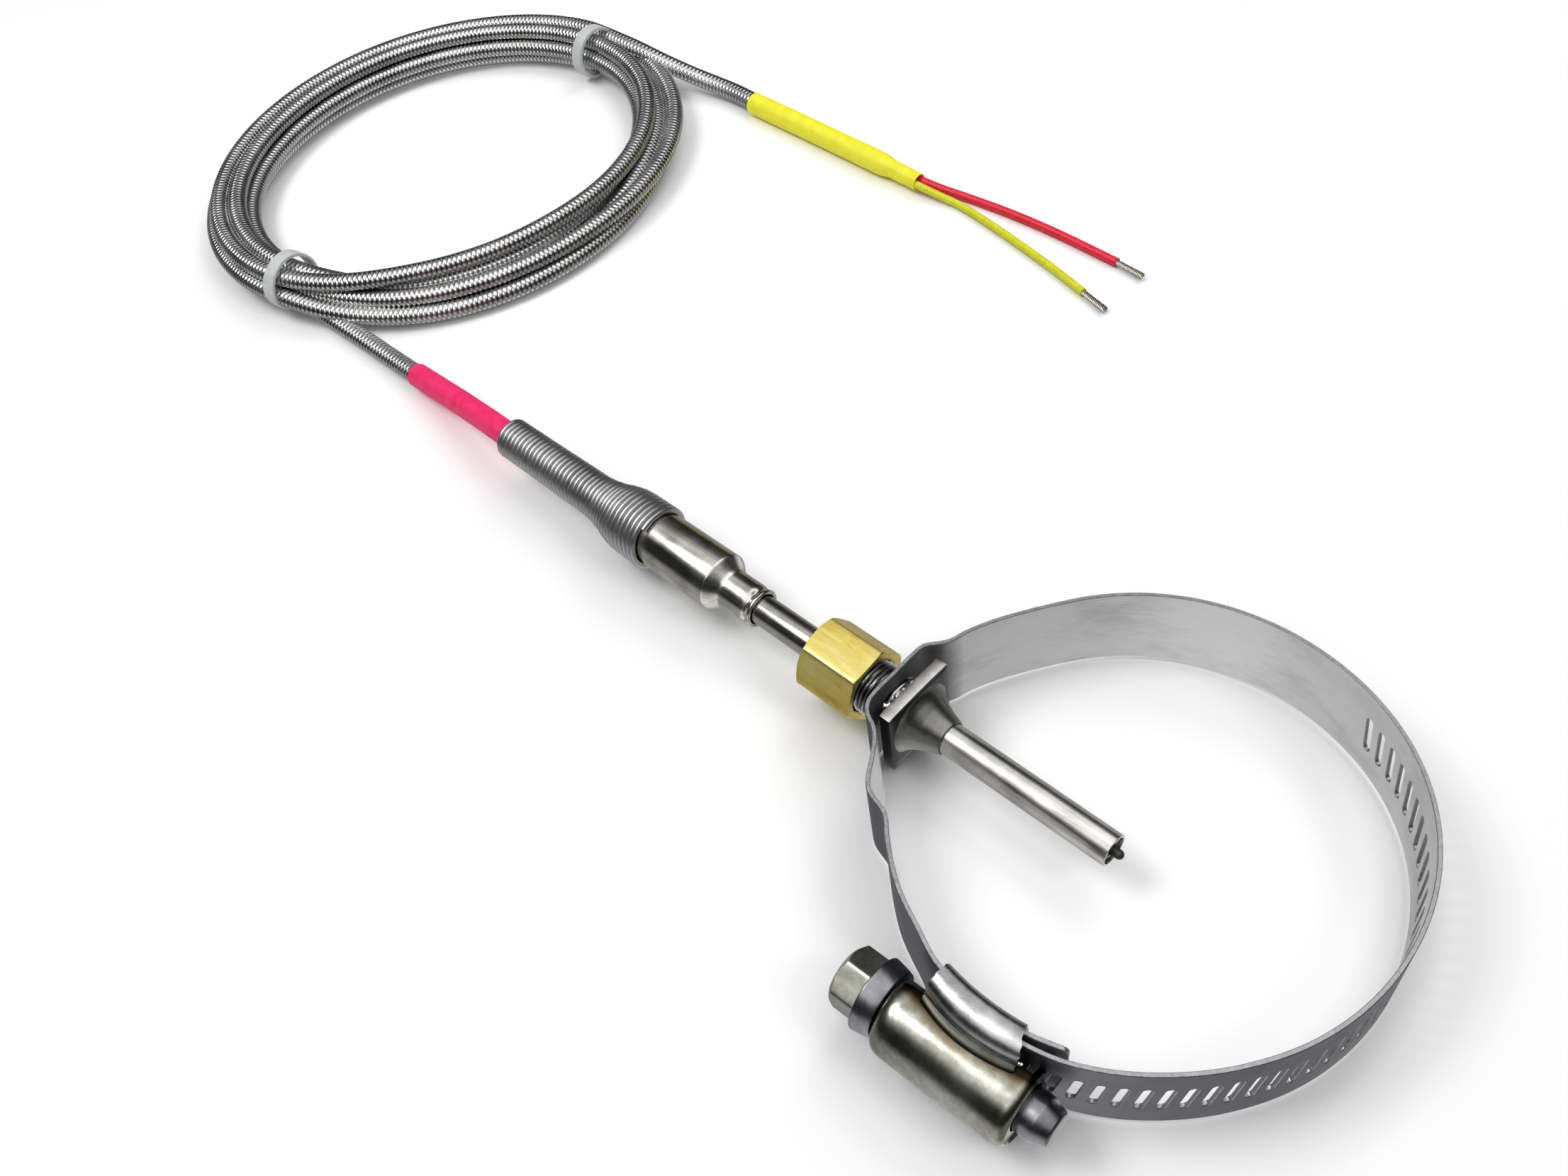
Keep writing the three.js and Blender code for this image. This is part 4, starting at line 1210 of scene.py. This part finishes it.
def saddle():
    """The strap: up the loop's inner side, rolled over the band's edge and down to the barrel, and the
    same below. Its outer right corner flares, and the part that folds down to the barrel has a darker
    copy of the strap's metal, painted shade."""
    left, right = -9.7, 5.5
    middle, reach = (left + right) / 2, (right - left) / 2
    fold_from = 49.8
    half = BAND_WIDTH / 2
    section = [[44.1, 0], [44.1, half - 1.2], [44.2, half + 0.4], [44.9, half + 1.1], [46.2, half + 1.3],
               [47.6, half + 1.05], [48.7, half + 0.45], [49.3, half - 0.4], [49.6, half - 1.3],
               [49.9, half - 1.85], [50.6, half - 1.95], [51.1, half - 2.15], [51.7, half - 2.9]]
    upper = fillet(section, 0.7, 4)
    whole = np.vstack([upper[::-1] * [1, -1], upper[1:]])
    xs = np.linspace(left, right, 30)
    surface = np.zeros((len(xs), len(whole), 3))
    for i, x in enumerate(xs):
        ragged = 1.0 if i in (0, len(xs) - 1) else 0.0
        bow = ((x - middle) / reach) ** 2
        spread = np.interp(x, [left, middle, right], [-0.5, 0.0, 1.7])
        for j, (radius, z) in enumerate(whole):
            pull = 1.1 * bow * max((radius - 46) / 6, 0)
            y = HEAD_RING - math.sqrt(max((radius - pull) ** 2 - x ** 2, 0))
            wave = ragged * (0.14 * math.sin(i * 1.9) + 0.12 * math.sin(j * 0.9))
            flare = spread * np.clip((radius - 44.6) / 4.2, 0, 1)
            surface[i, j] = (x + wave + flare, y, z)
    points, faces = sheet_solid(surface, 0.8)
    columns = len(whole) - 1
    outer = whole[:-1, 0] + whole[1:, 0] > 2 * fold_from
    # The faces beyond fold_from take the darker copy: painted shade on the fold.
    fold_shade_faces = np.zeros(len(faces), dtype=int)
    fold_shade_faces[:2 * columns * (len(xs) - 1)] = np.tile(np.repeat(outer, 2), len(xs) - 1)
    make("saddle_roll", in_head(points), faces, "strap fold", "clamp", 50, replaces=("saddle_strap",),
         slot="satin_stainless", face_slots=fold_shade_faces)


def housing():
    """The barrel: a rolled sheet over the screw, drawn in at both ends, whose edges run in under the
    saddle's rolls."""
    left, right, radius, ease, ease_right = -14.6, 10.3, 7.05, 2.4, 1.5
    xs = np.concatenate([np.linspace(left, left + ease, 12),
                         np.linspace(left + ease + 0.6, right - ease_right - 0.6, 30),
                         np.linspace(right - ease_right, right, 12)])
    surface = []
    for x in xs:
        near = max(left + ease - x, 0) / ease
        far = max(x - right + ease_right, 0) / ease_right
        inset = 1.15 * (1 - math.sqrt(1 - near ** 2 * 0.98)) + 1.1 * (1 - math.sqrt(1 - far ** 2 * 0.98))
        row = []
        for a in np.radians(180 + 112 * np.linspace(-1, 1, 81)):
            r = radius - inset + 0.1 * math.cos(2 * a)
            row.append([x, r * math.cos(a), -r * math.sin(a)])
        surface.append(row)
    points, faces = sheet_solid(np.array(surface), 0.85)
    make("rolled_barrel", in_head(points), faces, "housing", "clamp", 50, replaces=("worm_housing",),
         slot="satin_stainless")
    wall = fillet([[9.2, 4.3], [9.2, 6.3], [right, 6.3], [right, 4.3]], 0.2, 3)
    turned("barrel_end_wall", wall, 64, "housing", "clamp", 50, place=in_head, slot="satin_stainless")
    for side, start, end in (("left", (-10.3, 1.9, 7.0), (-8.9, 2.6, 7.2)),
                             ("right", (5.2, 1.6, 7.2), (6.9, 2.6, 6.9))):
        points, faces = weld_ridge(start, end, 4, 0.8)
        make(f"{side}_seam_weld", in_head(points), faces, "weld", "clamp", 30, slot="satin_stainless")


def screw():
    sides, worm_from, worm_to = 160, -12.0, 8.4
    head, faces_head = hexagon_body(-24.7, -19.0, 10.3, 0.0, 4.7, 5.9, 0.8, 0.2, None, sides)
    collar = fillet([[-19.2, 0.01], [-19.2, 6.3], [-19.0, 6.75], [-18.2, 6.6], [-16.4, 6.3], [-15.5, 6.05],
                     [-15.2, 5.3], [worm_from, 5.3], [worm_from, 3.0]], 0.2, 4)
    thread = [[x, 3.2] for x in np.arange(worm_from, worm_to, 0.25)]
    nose = fillet([[worm_to, 3.0], [8.6, 3.95], [13.1, 3.95], [15.7, 3.05], [15.95, 2.7], [15.95, 0.01]],
                  0.15, 3)
    worm = threaded(worm_from, worm_to, 3.4, 2.7, SLOT_PITCH, 0.0)

    def shape(x, r, angle):
        return np.where((x > worm_from) & (x < worm_to), worm(x, r, angle), r)

    points, faces = join((head, faces_head), revolved(np.vstack([collar, thread, nose]), sides, shape))
    # The hex head takes a lighter copy of the screw's zinc and the rest a darker one: painted light and
    # shade.
    part = [0] * len(faces_head) + [1] * (len(faces) - len(faces_head))
    make("worm_drive_screw", in_head(points), faces, "screw_head screw", "screw", 25,
         replaces=("worm_screw",), slot="screw_steel", face_slots=part)


# ---- studio -------------------------------------------------------------------------------------
def studio():
    scene = bpy.context.scene
    scene.view_settings.view_transform = "Standard"
    floor_mesh = bpy.data.meshes.new("studio_floor")
    reach = 3.0
    corners = [(x * reach, y * reach, 0) for x, y in ((-1, -1), (1, -1), (1, 1), (-1, 1))]
    floor_mesh.from_pydata(corners, [], [(0, 1, 2, 3)])
    floor = bpy.data.objects.new("studio_floor", floor_mesh)
    scene.collection.objects.link(floor)
    s = Surface("pale_floor", metallic=0.0, Roughness=0.9)
    s.colour(s.noise(3), [(0.3, (0.93, 0.93, 0.93)), (0.7, (0.95, 0.95, 0.95))])
    floor_mesh.materials.append(s.material)
    floor.visible_glossy = False
    scene.world = studio_air()
    for name, place, aim, size, power in (
            ("key", (-0.45, -0.35, 0.95), (-0.05, 0.0, 0.0), 0.45, 4.6),
            ("fill", (0.65, 0.15, 0.75), (0.0, 0.0, 0.0), 0.3, 1.6),
            ("top", (-0.15, 0.75, 0.8), (-0.1, 0.05, 0.0), 0.5, 2.6)):
        light = bpy.data.lights.new(name, "AREA")
        light.size, light.energy = size, power
        lamp = bpy.data.objects.new(name, light)
        lamp.location = place
        lamp.visible_glossy = name == "key"
        lamp.rotation_euler = (Vector(aim) - Vector(place)).to_track_quat("-Z", "Y").to_euler()
        scene.collection.objects.link(lamp)


def studio_air():
    """A pale room that lights the object: dim at the horizon, brighter overhead, with a few broad
    panels. Behind the object the camera sees a plain pale backdrop instead."""
    world = bpy.data.worlds.new("studio_air")
    world.use_nodes = True
    tree = world.node_tree
    coords = tree.nodes.new("ShaderNodeTexCoord")
    split = tree.nodes.new("ShaderNodeSeparateXYZ")
    tree.links.new(coords.outputs["Generated"], split.inputs["Vector"])
    height = Field(tree, split.outputs["Z"]).lift(-1.0, 1.0)
    panels = (Field(tree, split.outputs["X"]) * 5.0 + 1.0).math("SINE").lift(-0.4, 0.6, 0.55, 1.25)
    levels = [(0.0, 0.62), (0.33, 0.56), (0.43, 0.25), (0.49, 0.03), (0.77, 0.045), (0.84, 0.35),
              (0.89, 1.1), (1.0, 1.1)]
    air = colour_ramp(tree, height, [(place, (level, level, level * 1.01)) for place, level in levels])
    sky = tree.nodes["Background"]
    tree.links.new(air, sky.inputs["Color"])
    tree.links.new(panels.socket, sky.inputs["Strength"])
    backdrop = tree.nodes.new("ShaderNodeBackground")
    backdrop.inputs["Color"].default_value = (0.80, 0.80, 0.81, 1)
    seen = tree.nodes.new("ShaderNodeLightPath")
    both = tree.nodes.new("ShaderNodeMixShader")
    tree.links.new(seen.outputs["Is Camera Ray"], both.inputs["Fac"])
    tree.links.new(sky.outputs["Background"], both.inputs[1])
    tree.links.new(backdrop.outputs["Background"], both.inputs[2])
    tree.links.new(both.outputs["Shader"], tree.nodes["World Output"].inputs["Surface"])
    return world


def camera():
    """The photograph's viewpoint: above the near side, looking down and left along the cable."""
    data = bpy.data.cameras.new("photo_camera")
    data.sensor_width, data.lens = 36.0, 31.88
    data.clip_start = 0.01
    viewer = bpy.data.objects.new("photo_camera", data)
    forward = Vector((-0.50031, 0.39133, -0.77237)).normalized()
    up = Vector((-0.48139, 0.61574, 0.6238)).normalized()
    right = forward.cross(up).normalized()
    up = right.cross(forward)
    place = put([[53.95, -102.77, 225.52]])[0]
    turn = Matrix((right, up, -forward)).transposed().to_4x4()
    viewer.matrix_world = Matrix.Translation(Vector(place)) @ turn
    bpy.context.scene.collection.objects.link(viewer)
    bpy.context.scene.camera = viewer


camera()
cables()
studio()
clamp_strips()
bung()
compression_nut()
ferrule_ring()
probe()
saddle()
housing()
screw()
